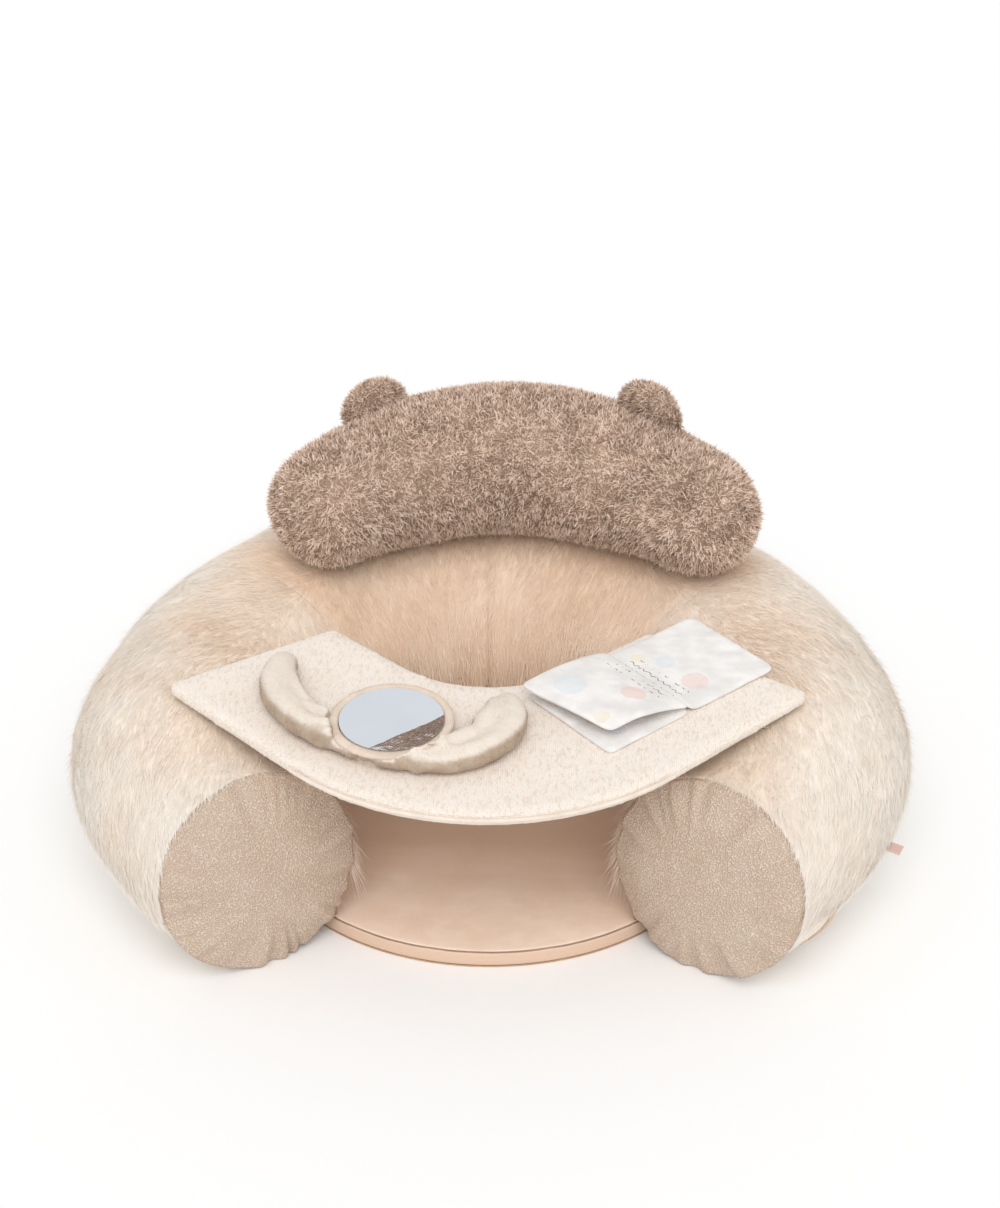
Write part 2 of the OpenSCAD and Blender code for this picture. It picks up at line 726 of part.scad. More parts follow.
module moon() color([0.85, 0.77, 0.67]) difference() {
    on_toy() closed_solid([for (i = [1:moon_steps - 1]) moon_loop(moon_t(i))],
        moon_pole(0), moon_pole(1));
    on_toy() translate([0, 0, rim_low - gap]) cylinder(r = mirror_r + gap, h = moon_h);
    on_toy() translate([0, 0, -1]) cylinder(r = backing_r + gap, h = moon_h);
}

module mirror_backing() color(cream) on_toy() cylinder(r = backing_r, h = mirror_up);

module mirror_rim() color(cream) on_toy() translate([0, 0, rim_low]) rotate_extrude() {
    round_r = rim_t / 2;
    translate([mirror_r - round_r, round_r]) circle(r = round_r, $fn = 24);
    translate([backing_r + gap / 3, 0]) square([rim_w - round_r - gap / 3, rim_t]);
}

module mirror_sheet() color([0.80, 0.86, 0.92]) on_toy() translate([0, 0, mirror_up])
    cylinder(r = backing_r, h = mirror_t);

// ---- Book ----

// The pages turn about the bound spine, which stands high enough for all three to lie shut
spine_z = gap + page_t * 1.5 + 2 * gap;
spine_r = 1.5;
page_in = spine_r + 0.5;

module on_book() on_tray(tray_t) translate([book_x, -book_y, 0]) rotate([0, 0, book_turn])
    children();

// A page lies along +X, from its inner edge to its outer edge
module page(len) {
    r = page_corner_r;
    translate([0, -page_w / 2, 0]) cube([len - r, page_w, page_t]);
    translate([0, -page_w / 2 + r, 0]) cube([len, page_w - 2 * r, page_t]);
    for (y = [-page_w / 2 + r, page_w / 2 - r]) translate([len - r, y, 0])
        cylinder(r = r, h = page_t, $fn = 24);
}

module book_back_page() color("white") on_book() {
    translate([0, 0, gap]) page(page_len);
    translate([-spine_r, -page_w / 2, gap]) cube([2 * spine_r, page_w, spine_z - gap]);
    translate([0, page_w / 2, spine_z]) rotate([90, 0, 0])
        cylinder(r = spine_r, h = page_w, $fn = 24);
}

module book_front_page() color("white") on_book() translate([-page_in, 0, gap])
    mirror([1, 0, 0]) page(front_len - page_in);

module book_middle_page() color("white") on_book() translate([0, 0, spine_z])
    rotate([0, page_lift, 0]) translate([-page_in, 0, -page_t / 2])
    mirror([1, 0, 0]) page(page_len - page_in);

// ---- What is drawn ----

fur_arm_right();
fur_back();
fur_arm_left();
velour_panel_right();
velour_panel_back();
velour_panel_left();
well_wall();
foot_end_right();
foot_end_left();
foot_wadding_right();
foot_wadding_left();
binding_right();
binding_left();
loop_tag();
chamber_top();
chamber_bottom();
chamber_end_right();
chamber_end_left();
valve_stem();
valve_flap();
valve_plug();
zip_tape();
zip_coil();
zip_slider();
zip_pull();
mat_top();
mat_foam();
mat_band();
underside();
headrest_cover();
headrest_filling();
ear_right();
ear_left();
arm_loop_strips();
tray_cover();
tray_foam();
tray_underside();
tray_piping();
tray_hook_strips();
moon();
mirror_backing();
mirror_rim();
mirror_sheet();
book_back_page();
book_middle_page();
book_front_page();
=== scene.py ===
"""Looks of a baby floor seat: a fur ring with headrest, play tray, mirror toy and cloth book."""

import itertools
import math

import bpy
import numpy as np
from bpy.props import FloatProperty, FloatVectorProperty, IntProperty, PointerProperty
from mathutils import Matrix, Vector


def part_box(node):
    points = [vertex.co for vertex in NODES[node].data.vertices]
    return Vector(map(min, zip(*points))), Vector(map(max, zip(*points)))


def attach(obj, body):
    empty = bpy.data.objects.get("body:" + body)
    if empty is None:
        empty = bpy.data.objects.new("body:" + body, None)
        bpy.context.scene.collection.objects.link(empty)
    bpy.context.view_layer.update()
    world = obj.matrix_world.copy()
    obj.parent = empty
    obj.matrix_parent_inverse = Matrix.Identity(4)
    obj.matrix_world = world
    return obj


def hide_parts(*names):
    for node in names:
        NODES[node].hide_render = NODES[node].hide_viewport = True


bl_info = {
    "name": "Baby floor seat",
    "version": (1, 0, 0),
    "blender": (4, 5, 0),
    "location": "View3D > Sidebar > Floor seat",
    "description": "Dresses the packed floor seat in fur, curly pile, knit and cloth",
    "category": "Object",
}

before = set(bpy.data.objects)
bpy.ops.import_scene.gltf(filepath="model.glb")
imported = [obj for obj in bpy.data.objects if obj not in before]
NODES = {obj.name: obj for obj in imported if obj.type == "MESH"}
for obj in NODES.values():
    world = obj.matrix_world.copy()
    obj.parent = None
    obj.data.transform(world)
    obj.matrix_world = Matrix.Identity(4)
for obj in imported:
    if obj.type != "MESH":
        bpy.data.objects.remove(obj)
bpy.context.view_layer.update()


# ---- Colours and places ----


def ink(code):
    """A colour as a designer writes it, such as EADFCB, as the linear numbers that shaders take."""
    parts = [int(code[i : i + 2], 16) / 255 for i in (0, 2, 4)]
    return [p / 12.92 if p <= 0.04045 else ((p + 0.055) / 1.055) ** 2.4 for p in parts]


def shade_of(value):
    """The numbers of a shade that is given as a code or as numbers."""
    return ink(value) if isinstance(value, str) else value


def colour(name, description, code):
    """A colour setting."""
    return FloatVectorProperty(
        name=name, description=description, subtype="COLOR", min=0, max=1, default=ink(code)
    )


def number(name, description, default, low, high, **more):
    """A number setting."""
    return FloatProperty(
        name=name, description=description, default=default, min=low, max=high, **more
    )


def length(name, description, default, low, high):
    """A length setting, in metres."""
    return number(name, description, default, low, high, unit="LENGTH", precision=4)


TRAY_SLOPE = math.radians(7)
TRAY = Matrix.Translation((0, 0, 0.189347)) @ Matrix.Rotation(TRAY_SLOPE, 4, "X")
TOY = TRAY @ Matrix.Translation((-0.070, -0.145, 0.0113))
BOOK = TRAY @ Matrix.Translation((0.1265, -0.076, 0.011)) @ Matrix.Rotation(math.radians(41), 4, "Z")
# Height of the book's spine above the tray, and half the width of a page
SPINE_UP, PAGE_HALF_W = 0.0069, 0.048
# Radius and height of the floor mat
MAT_R, MAT_TOP = 0.187, 0.014
# Radius and height of the headrest's middle line
HEAD_RING, HEAD_Z = 0.210, 0.268


def smooth(t):
    """A step from 0 to 1 with soft ends."""
    u = np.clip(t, 0, 1)
    return u * u * (3 - 2 * u)


def mixed(p, q, t):
    """From p to q as t goes from 0 to 1."""
    return p + (q - p) * t


def lumps(points, size, seed=0):
    """Soft even noise from -1 to 1 at each point. Its lumps are about size across."""
    spots = np.asarray(points) / size + seed * 17.31
    cells = np.floor(spots).astype(np.int64)
    inside = smooth(spots - cells)
    total = 0
    for corner in itertools.product((0, 1), repeat=3):
        c = cells + np.array(corner)
        code = (c[..., 0] * 73856093) ^ (c[..., 1] * 19349663) ^ (c[..., 2] * 83492791)
        value = np.sin((code & 0xFFFFF) * 12.9898) * 43758.5453 % 1
        total = total + value * np.prod(np.where(corner, inside, 1 - inside), axis=-1)
    return total * 2 - 1


def lumps_at(seed, *axes):
    """Noise over axes of any kind, such as angles. Its lumps are one unit across."""
    return lumps(np.stack(np.broadcast_arrays(*axes), -1), 1, seed)


def unit(vectors):
    """The vectors at length 1."""
    return vectors / np.linalg.norm(vectors, axis=-1, keepdims=True)


class Tube:
    """The seat's tube as the part draws it: a runs round the ring from the right side, in degrees,
    s runs round the tube from the outside over the top, and d stands out from the smooth panels.
    ring is the radius of its middle line, sweep is how far it runs past each side, and its radius
    and its flatness are given at the front ends, at the sides and at the back."""

    ring, sweep, lift = 0.247, 44.9, 0.0015
    foot_r, side_r, back_r = 0.0815, 0.099, 0.111
    foot_flat, side_flat, back_flat = 0.95, 0.915, 0.925
    tilt, yaw = math.tan(math.radians(7.1)), math.tan(math.radians(7.9))

    @classmethod
    def along(cls, a, foot, side, back):
        """A size that changes round the ring, from a front end to a side and to the back."""
        b = np.where(a > 90, 180 - a, a)
        arm = mixed(foot, side, smooth(1 + b / cls.sweep))
        return np.where(b < 0, arm, mixed(side, back, smooth(b / 60)))

    @classmethod
    def radius(cls, a):
        return cls.along(a, cls.foot_r, cls.side_r, cls.back_r)

    @classmethod
    def flat(cls, a):
        return cls.along(a, cls.foot_flat, cls.side_flat, cls.back_flat)

    @classmethod
    def at(cls, a, across, up, out=0):
        """A place across and up from the tube's middle, and out of its front end."""
        turn = np.radians(a)
        side = np.where(a < 90, 1, -1)
        b = np.where(a > 90, 180 - a, a)
        share = 1 - smooth((b + cls.sweep) / 30)
        lean = side * (share * (up * cls.tilt + across * cls.yaw) - out)
        r = cls.ring + across
        z = cls.lift + cls.flat(a) * cls.radius(a) + up
        return np.stack(
            [r * np.cos(turn) - lean * np.sin(turn), r * np.sin(turn) + lean * np.cos(turn), z + 0 * r],
            axis=-1,
        )

    @classmethod
    def point(cls, a, s, d):
        """A place on the tube."""
        r = cls.radius(a) + d
        ring = np.radians(s)
        return cls.at(a, r * np.cos(ring), cls.flat(a) * r * np.sin(ring))

    @classmethod
    def sides(cls, a, s, d):
        """Unit vectors along the ring, round the tube and outwards."""
        along = unit(cls.point(a + 0.2, s, d) - cls.point(a - 0.2, s, d))
        around = unit(cls.point(a, s + 0.5, d) - cls.point(a, s - 0.5, d))
        return along, around, unit(np.cross(along, around))

    @classmethod
    def mat_line(cls, a):
        """The angle at which the tube meets the mat's edge, inside and below."""
        return np.degrees(np.arccos((cls.ring - MAT_R - 0.0003) / cls.radius(a))) - 180


# ---- Modelling ----


def pick(obj):
    """Makes obj the only selected object."""
    bpy.ops.object.select_all(action="DESELECT")
    obj.select_set(True)
    bpy.context.view_layer.objects.active = obj
    return obj


def coords(obj):
    """Where the points of a mesh lie, one to a row."""
    found = np.empty(len(obj.data.vertices) * 3)
    obj.data.vertices.foreach_get("co", found)
    return found.reshape(-1, 3)


def set_coords(obj, places):
    obj.data.vertices.foreach_set("co", np.ascontiguousarray(places, dtype=np.float64).ravel())
    obj.data.update()


def normals(obj):
    """Which way a mesh faces at each of its points."""
    found = np.empty(len(obj.data.vertices) * 3, dtype=np.float32)
    obj.data.vertices.foreach_get("normal", found)
    return found.reshape(-1, 3)


def apply_modifier(obj, name, kind, **settings):
    """Adds a modifier and applies it at once."""
    pick(obj)
    modifier = obj.modifiers.new(name, kind)
    for setting, value in settings.items():
        setattr(modifier, setting, value)
    bpy.ops.object.modifier_apply(modifier=modifier.name)


def soft_shade(obj):
    pick(obj)
    bpy.ops.object.shade_smooth()


def thicken(obj, thickness):
    """Gives a sheet of cloth a thickness, inwards."""
    apply_modifier(obj, "Thickness", "SOLIDIFY", thickness=thickness, offset=-1)
    soft_shade(obj)


def round_off(obj):
    """Divides a piece's faces once, so that it looks round."""
    apply_modifier(obj, "Round", "SUBSURF", levels=1, render_levels=1)
    soft_shade(obj)


def edit(obj, *steps):
    """Runs edit mode steps on the whole of obj."""
    pick(obj)
    bpy.ops.object.mode_set(mode="EDIT")
    bpy.ops.mesh.select_all(action="SELECT")
    for step in steps:
        step()
    bpy.ops.object.mode_set(mode="OBJECT")


def close_seam():
    bpy.ops.mesh.remove_doubles(threshold=1e-5)


def outside_out():
    bpy.ops.mesh.normals_make_consistent(inside=False)


def grid(name, columns, rows, place):
    """A sheet of cloth: place turns each point's share across and up the sheet into where it lies."""
    bpy.ops.object.select_all(action="DESELECT")
    bpy.ops.mesh.primitive_grid_add(x_subdivisions=columns, y_subdivisions=rows, size=2)
    sheet = bpy.context.object
    sheet.name = sheet.data.name = name
    share = coords(sheet)[:, :2] / 2 + 0.5
    set_coords(sheet, place(share[:, 0], share[:, 1]))
    soft_shade(sheet)
    return sheet


def face_towards(obj, direction):
    """Turns an open sheet's faces towards a direction."""
    total = sum((p.normal * p.area for p in obj.data.polygons), Vector())
    if total.dot(Vector(direction)) < 0:
        edit(obj, bpy.ops.mesh.flip_normals)


def copy_of(node, name):
    """A welded copy of a CAD node's mesh."""
    piece = bpy.data.objects.new(name, NODES[node].data.copy())
    bpy.context.scene.collection.objects.link(piece)
    piece.data.name = name
    piece.data.materials.clear()
    edit(piece, close_seam, outside_out)
    return piece


def softened(node, name, voxel, swell, turns=10):
    """A copy of a CAD node with an even mesh and soft edges, swollen a little."""
    piece = copy_of(node, name)
    apply_modifier(piece, "Even mesh", "REMESH", mode="VOXEL", voxel_size=voxel)
    apply_modifier(piece, "Soften", "SMOOTH", factor=0.5, iterations=turns)
    set_coords(piece, coords(piece) + normals(piece) * swell)
    soft_shade(piece)
    return piece


def puffed(piece, pressure, frames, cap):
    """Blows a padded piece up as cloth, and holds any point that would move too far."""
    pick(piece)
    scene = bpy.context.scene
    start = coords(piece)
    cloth = piece.modifiers.new("Cloth", "CLOTH")
    cloth.settings.use_pressure = True
    cloth.settings.uniform_pressure_force = pressure
    cloth.settings.effector_weights.gravity = 0
    cloth.collision_settings.use_collision = False
    for step in range(1, frames + 1):
        scene.frame_set(step)
    bpy.ops.object.modifier_apply(modifier=cloth.name)
    scene.frame_set(1)
    moved = coords(piece) - start
    size = np.linalg.norm(moved, axis=1, keepdims=True)
    set_coords(piece, start + moved * np.minimum(1, cap / np.maximum(size, 1e-9)))


def mark(mesh, label, values):
    """Keeps a number on each of a mesh's points, for its finish."""
    layer = mesh.attributes.new(label, "FLOAT", "POINT")
    layer.data.foreach_set("value", np.ascontiguousarray(values, dtype=np.float32))


SPIKE = np.array([[0, 2, 1], [0, 1, 3], [1, 2, 3], [2, 0, 3]])


def spikes(name, root, side, over, tip, attributes, chart):
    """A mesh of thin closed spikes. Each has a point on either side of its root, one over it and a
    tip, with numbers and a map place on each of the four."""
    places = np.stack([root + side, root - side, root + over, tip], axis=1).reshape(-1, 3)
    faces = (np.arange(len(root))[:, None, None] * 4 + SPIKE).reshape(-1, 3)
    chart = np.clip(chart.reshape(-1, 2), 0, 1)
    mesh = bpy.data.meshes.new(name)
    mesh.vertices.add(len(places))
    mesh.vertices.foreach_set("co", np.ascontiguousarray(places, dtype=np.float32).ravel())
    mesh.loops.add(faces.size)
    mesh.loops.foreach_set("vertex_index", faces.astype(np.int32).ravel())
    mesh.polygons.add(len(faces))
    mesh.polygons.foreach_set("loop_start", np.arange(0, faces.size, 3, dtype=np.int32))
    mesh.polygons.foreach_set("use_smooth", np.full(len(faces), False))
    mesh.update(calc_edges=True)
    for label, values in attributes.items():
        mark(mesh, label, values)
    uv = mesh.uv_layers.new(name="OFBake")
    uv.data.foreach_set("uv", np.ascontiguousarray(chart[faces.ravel()], dtype=np.float32).ravel())
    obj = bpy.data.objects.new(name, mesh)
    bpy.context.scene.collection.objects.link(obj)
    return obj


def placed(obj, body, finish, nodes=()):
    """Gives a piece its finish and its body, and hides the CAD nodes that it stands for."""
    obj.data.materials.clear()
    obj.data.materials.append(finish)
    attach(obj, body)
    if nodes:
        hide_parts(*nodes)
    return obj


def dress(finish, *nodes):
    """Gives CAD nodes that stay in view a finish."""
    for node in nodes:
        obj = NODES[node]
        if not obj.material_slots:
            obj.data.materials.append(finish)
        for slot in obj.material_slots:
            slot.material = finish


# ---- Finishes ----


class Value:
    """A shader socket that takes part in Python sums."""

    def __init__(self, nodes, socket):
        self.nodes = nodes
        self.socket = socket

    def maths(self, operation, *terms):
        values = dict(enumerate(terms))
        return self.nodes.node("ShaderNodeMath", {"operation": operation}, values)[0]

    def __add__(self, other):
        return self.maths("ADD", self, other)

    __radd__ = __add__

    def __mul__(self, other):
        return self.maths("MULTIPLY", self, other)

    __rmul__ = __mul__

    def __sub__(self, other):
        return self.maths("SUBTRACT", self, other)

    def __rsub__(self, other):
        return self.maths("SUBTRACT", other, self)

    def __truediv__(self, other):
        return self.maths("DIVIDE", self, other)

    def __pow__(self, other):
        return self.maths("POWER", self, other)

    def __abs__(self):
        return self.maths("ABSOLUTE", self)

    def above(self, level):
        return self.maths("GREATER_THAN", self, level)

    def below(self, level):
        return self.maths("LESS_THAN", self, level)

    def sine(self):
        return self.maths("SINE", self)

    def bearing(self, other):
        return self.maths("ARCTAN2", self, other)

    def between(self, low, high):
        """0 at low, 1 at high, with soft ends."""
        settings = {"interpolation_type": "SMOOTHSTEP"}
        return self.nodes.node("ShaderNodeMapRange", settings, {0: self, 1: low, 2: high})[0]


class Nodes:
    """A node tree, with the one way to add nodes to it."""

    def __init__(self, tree):
        self.tree = tree

    def node(self, kind, settings=None, values=None):
        """Adds a node with its settings and the values or links of its sockets."""
        made = self.tree.nodes.new(kind)
        for name, setting in (settings or {}).items():
            if name == "stops":
                self.set_stops(made.color_ramp, setting)
            else:
                setattr(made, name, setting)
        for name, value in (values or {}).items():
            if isinstance(value, Value):
                self.tree.links.new(value.socket, made.inputs[name])
            else:
                made.inputs[name].default_value = value
        return Outputs(self, made)

    @staticmethod
    def set_stops(ramp, stops):
        while len(ramp.elements) < len(stops):
            ramp.elements.new(0.5)
        for element, (position, shade) in zip(ramp.elements, stops):
            element.position = position
            element.color = (*shade_of(shade), 1)


class Finish(Nodes):
    """A material under the name that it is known by, with the sums and textures that it uses."""

    def __init__(self, name, roughness=0.8, metal=0.0, sheen=0.0, sheen_roughness=0.5):
        self.material = bpy.data.materials.new(name)
        self.material.use_nodes = True
        super().__init__(self.material.node_tree)
        self.shader = self.tree.nodes["Principled BSDF"]
        self.shader.inputs["Roughness"].default_value = roughness
        self.shader.inputs["Metallic"].default_value = metal
        self.shader.inputs["Sheen Weight"].default_value = sheen
        self.shader.inputs["Sheen Roughness"].default_value = sheen_roughness
        self.shader.inputs["Specular IOR Level"].default_value = 0.25
        self.place = self.node("ShaderNodeTexCoord")["Object"]

    def noise(self, size, detail=2.0, rough=0.5, place=None):
        values = {
            "Vector": place or self.place, "Scale": 1 / size, "Detail": detail, "Roughness": rough,
        }
        return self.node("ShaderNodeTexNoise", {}, values)["Fac"]

    def soft_cells(self, size, smoothness):
        values = {"Vector": self.place, "Scale": 1 / size, "Smoothness": smoothness}
        return self.node("ShaderNodeTexVoronoi", {"feature": "SMOOTH_F1"}, values)["Distance"]

    def mapped(self, scale=(1, 1, 1), turn=(0, 0, 0), move=(0, 0, 0), kind="POINT"):
        values = {"Vector": self.place, "Scale": scale, "Rotation": turn, "Location": move}
        return self.node("ShaderNodeMapping", {"vector_type": kind}, values)[0]

    def axes(self, place=None):
        parts = self.node("ShaderNodeSeparateXYZ", {}, {0: place or self.place})
        return parts[0], parts[1], parts[2]

    def attribute(self, name):
        return self.node("ShaderNodeAttribute", {"attribute_name": name})["Fac"]

    def blend(self, share, low, high, way="MIX"):
        """A colour between two, which may be colours or links."""
        pair = [v if isinstance(v, Value) else (*shade_of(v), 1) for v in (low, high)]
        settings = {"data_type": "RGBA", "blend_type": way}
        return self.node("ShaderNodeMix", settings, {0: share, 6: pair[0], 7: pair[1]})[2]

    def darker(self, base, shade):
        return self.blend(1.0, base, shade, "MULTIPLY")

    def ramp(self, level, *stops):
        """A colour that goes through the shades of its stops as level rises."""
        return self.node("ShaderNodeValToRGB", {"stops": stops}, {0: level})[0]

    def link(self, value, socket):
        self.tree.links.new(value.socket, self.shader.inputs[socket])

    def bump(self, *layers):
        """Adds bumps, each a height, how deep it is in metres, and how strong."""
        last = None
        for height, depth, strength in layers:
            values = {"Height": height, "Distance": depth, "Strength": strength}
            if last:
                values["Normal"] = last
            last = self.node("ShaderNodeBump", {}, values)[0]
        self.link(last, "Normal")

    def done(self, shade, *layers):
        """Paints the finish, adds its bumps and gives its material."""
        self.link(shade, "Base Color")
        if layers:
            self.bump(*layers)
        return self.material


class Outputs:
    """A node's outputs, by name or number."""

    def __init__(self, nodes, made):
        self.nodes = nodes
        self.made = made

    def __getitem__(self, key):
        return Value(self.nodes, self.made.outputs[key])


def fur_colour(finish, settings):
    """Cream arms and a tan back, paler outside, with soft uneven borders, and warm patches that lie
    thicker inside the well at the back as painted shade below the headrest.
    """
    x, y, _ = finish.axes()
    radius = (x * x + y * y) ** 0.5
    wander = (finish.noise(0.09, 1) - 0.5) * 0.09 + (finish.noise(0.03, 2) - 0.5) * 0.03
    inside = (radius + wander).between(0.31, 0.225)
    back = (abs(x.bearing(y)) + wander * 2).between(1.12, 0.92)
    base = finish.blend(inside * (back * 0.5 + 0.5), settings.outside, settings.inside)
    patch = finish.noise(0.06, 2).between(0.35, 0.8)
    # Warm patches all over, laid on more strongly inside the well at the back as painted shade below
    # the headrest.
    return finish.blend(patch * (inside * back * 0.25 + 0.2), base, settings.patches)


def fur_finish(settings):
    """Hairs that are a little darker at their roots, as painted shade deep in the pile, and paler at
    their tips.
    """
    finish = Finish("Cream fur", roughness=0.85)
    base = fur_colour(finish, settings)
    tone = finish.attribute("tone")
    tip = finish.attribute("tip")
    # Painted shade: the roots are darkened, where the pile is deep.
    dark = finish.darker(base, settings.painted_root_shade)
    body = finish.blend((tip * 0.6 + tone * 0.6).between(0.1, 0.95), dark, base)
    return finish.done(finish.blend((tip * tone).between(0.35, 1.2) * 0.4, body, settings.tips))


def fur_skin_finish(settings):
    """The backing that shows between the hairs, darkened in a fine mottle as painted shade under the
    pile.
    """
    finish = Finish("Fur backing", roughness=0.95)
    base = fur_colour(finish, settings)
    fine = finish.noise(0.002, 3, 0.7)
    # Painted shade: the backing between the hairs is darkened in a fine mottle.
    dark = finish.darker(base, settings.painted_root_shade)
    return finish.done(finish.blend(fine, dark, base), (fine, 0.001, 0.8))


def sherpa_finish(settings):
    """Curly pile that is dark between the locks, as painted shade, and pale at their tips."""
    finish = Finish("Sherpa pile", roughness=0.85)
    fine = finish.noise(0.0013, 3, 0.7)
    patch = finish.noise(0.03, 2)
    level = finish.attribute("tone") * 0.85 + patch * 0.3 + fine * 0.3 - 0.22
    # Painted shade: low levels, on the skin and at the locks' roots, take the gaps' colour.
    shade = finish.ramp(
        level, (0.0, settings.gaps), (0.3, settings.dark), (0.65, settings.middle),
        (1.0, settings.light),
    )
    return finish.done(shade, (fine, 0.0008, 0.6))


def boucle_finish(settings):
    """Short looped pile on the front ends, darkened between the loops as painted shade."""
    finish = Finish("Taupe boucle", roughness=0.9)
    loop = finish.soft_cells(0.0015, 0.5)
    fine = finish.noise(0.0011, 2, 0.6)
    patch = finish.noise(0.03, 2)
    grain = ((1 - loop * 1.5) * 0.75 + fine * 0.45).between(0.15, 1.0)
    base = finish.blend(patch.between(0.3, 0.7), settings.foot_dark, settings.foot_light)
    # Painted shade: where grain is low, between the loops, the boucle's colour is darkened.
    return finish.done(finish.blend(grain, finish.darker(base, "C9BEB4"), base), (grain, 0.0012, 0.9))


def velour_finish(name, shade, deep, grain=0.0006, with_painted_light=False):
    """Short smooth pile with soft patches where it was brushed. With painted light, it is pale on top
    and deep on the sides, as painted highlight and painted shade.
    """
    finish = Finish(name, roughness=0.75, sheen=0.08, sheen_roughness=0.35)
    brushed = finish.noise(0.02, 3, 0.55)
    fine = finish.noise(grain, 2, 0.6)
    share = brushed * 0.75 + fine * 0.35
    if with_painted_light:
        # Painted light and shade: pale where the crescent faces up, deep on its sides.
        share = share * 0.65 + finish.attribute("tone") * 0.45
    cloth = finish.blend(share.between(0.25, 0.8), deep, shade)
    return finish.done(cloth, (fine, 0.0004, 0.4), (brushed, 0.002, 0.3))


def woven_finish(name, shade, deep, thread=0.0007):
    """Plain woven cloth."""
    finish = Finish(name, roughness=0.75)
    x, y, z = finish.axes()
    beat = 2 * math.pi / thread
    weave = ((x + z) * beat).sine() * (y * beat).sine() * 0.5 + 0.5
    slub = finish.noise(0.012, 3, 0.6)
    cloth = finish.blend((weave * 0.3 + slub * 0.8).between(0.2, 0.95), deep, shade)
    return finish.done(cloth, (weave, 0.0002, 0.5), (slub, 0.0015, 0.3))


def mat_finish(settings):
    """Plain woven cloth with a fine dark seam round its edge, and painted shade of the tray over its
    back part.
    """
    finish = Finish("Tan mat cloth", roughness=0.75)
    x, y, z = finish.axes()
    out = ((x * x + y * y) ** 0.5).between(MAT_R * 0.97, MAT_R * 0.985)
    from_seam = z + (finish.noise(0.02) - 0.5) * 0.0008 - 0.0132
    seam = abs(from_seam).between(0.0009, 0.0003) * out
    below = z.between(0.0128, 0.0120) * out
    slub = finish.noise(0.03, 3, 0.6)
    cloth = finish.blend(slub.between(0.05, 0.95), settings.tan_deep, settings.tan)
    drawn = finish.noise(0.05, 2, 0.5, finish.mapped((0.2, 1, 1)))
    # Painted shade of the tray: the mat darkens towards the back, in soft wavy bands that run across.
    cloth = finish.blend((y + (drawn - 0.5) * 0.14).between(-0.14, 0.0) * 0.75, cloth, "CFAD94")
    band = finish.blend(below, cloth, "DDC0A9")
    weave = finish.noise(0.0009, 2)
    shade = finish.blend(seam * 0.75, band, "8F6F58")
    return finish.done(shade, (weave, 0.0002, 0.5), (slub, 0.0015, 0.3))


def knit_finish(settings):
    """Oatmeal melange knit: fine stitch columns with pale, tan and grey flecks."""
    finish = Finish("Oatmeal knit", roughness=0.85)
    x, y, _ = finish.axes()
    drawn = finish.mapped((1, 0.35, 1))
    mottle = finish.noise(0.0026, 3, 0.75, drawn)
    column_w, row_h = 0.0017, 0.0021
    stitch = (x * (2 * math.pi / column_w)).sine() * 0.5 + 0.5
    row = ((y + x * 0.4) * (2 * math.pi / row_h)).sine() * 0.5 + 0.5
    base = finish.ramp(
        mottle, (0.3, "E3D5C3"), (0.45, settings.tray), (0.57, settings.tray_light), (0.72, "F0DAC2")
    )
    grey = finish.noise(0.003, 2, 0.6, finish.mapped((1, 0.4, 1), move=(0.3, 0.1, 0)))
    flecked = finish.blend(grey.between(0.55, 0.75) * 0.28, base, "C9C1B6")
    shade = finish.blend(stitch * row * 0.12, flecked, "C8B298")
    return finish.done(shade, (stitch * row, 0.0006, 0.55), (mottle, 0.0008, 0.5))


def mirror_finish():
    """A thin mirror sheet that bends a little near its edge, where it shows the headrest."""
    finish = Finish("Mirror sheet", roughness=0.06, metal=1.0)
    haze = finish.noise(0.05, 2)
    finish.link(finish.noise(0.01, 2) * 0.05 + 0.05, "Roughness")
    x, y, _ = finish.axes()
    bend_from, slope = 0.0245, 0.32
    across = (x - TOY.translation.x) * 0.62 - (y - TOY.translation.y) * 0.78
    past = across + finish.noise(0.02, 1) * 0.004 + finish.noise(0.004) * 0.0012 - bend_from
    bent = past.maths("MAXIMUM", past, 0.0) * slope
    return finish.done(finish.blend(haze, "D0D5DC", "D9DEE4"), (haze, 0.0006, 0.2), (bent, 1.0, 1.0))


def strokes(finish, across, along, seed):
    """Rows of small wavy strokes, as a child would draw them. They are no letters."""
    pitch, rows, reach, half_line = 0.0085, 4, 0.030, 0.00045
    wave = (along * 900 + finish.noise(0.012) * 9).sine() * 0.0011
    row = (across + wave) / pitch + 0.5
    line = abs(row.maths("FRACT", row) - 0.5).below(half_line / pitch)
    inside = abs(across).below(pitch * rows / 2) * abs(along).below(reach)
    gaps = finish.noise(0.006, 1, 0.5, finish.mapped(move=(seed, 0, 0))).above(0.46)
    return line * inside * gaps


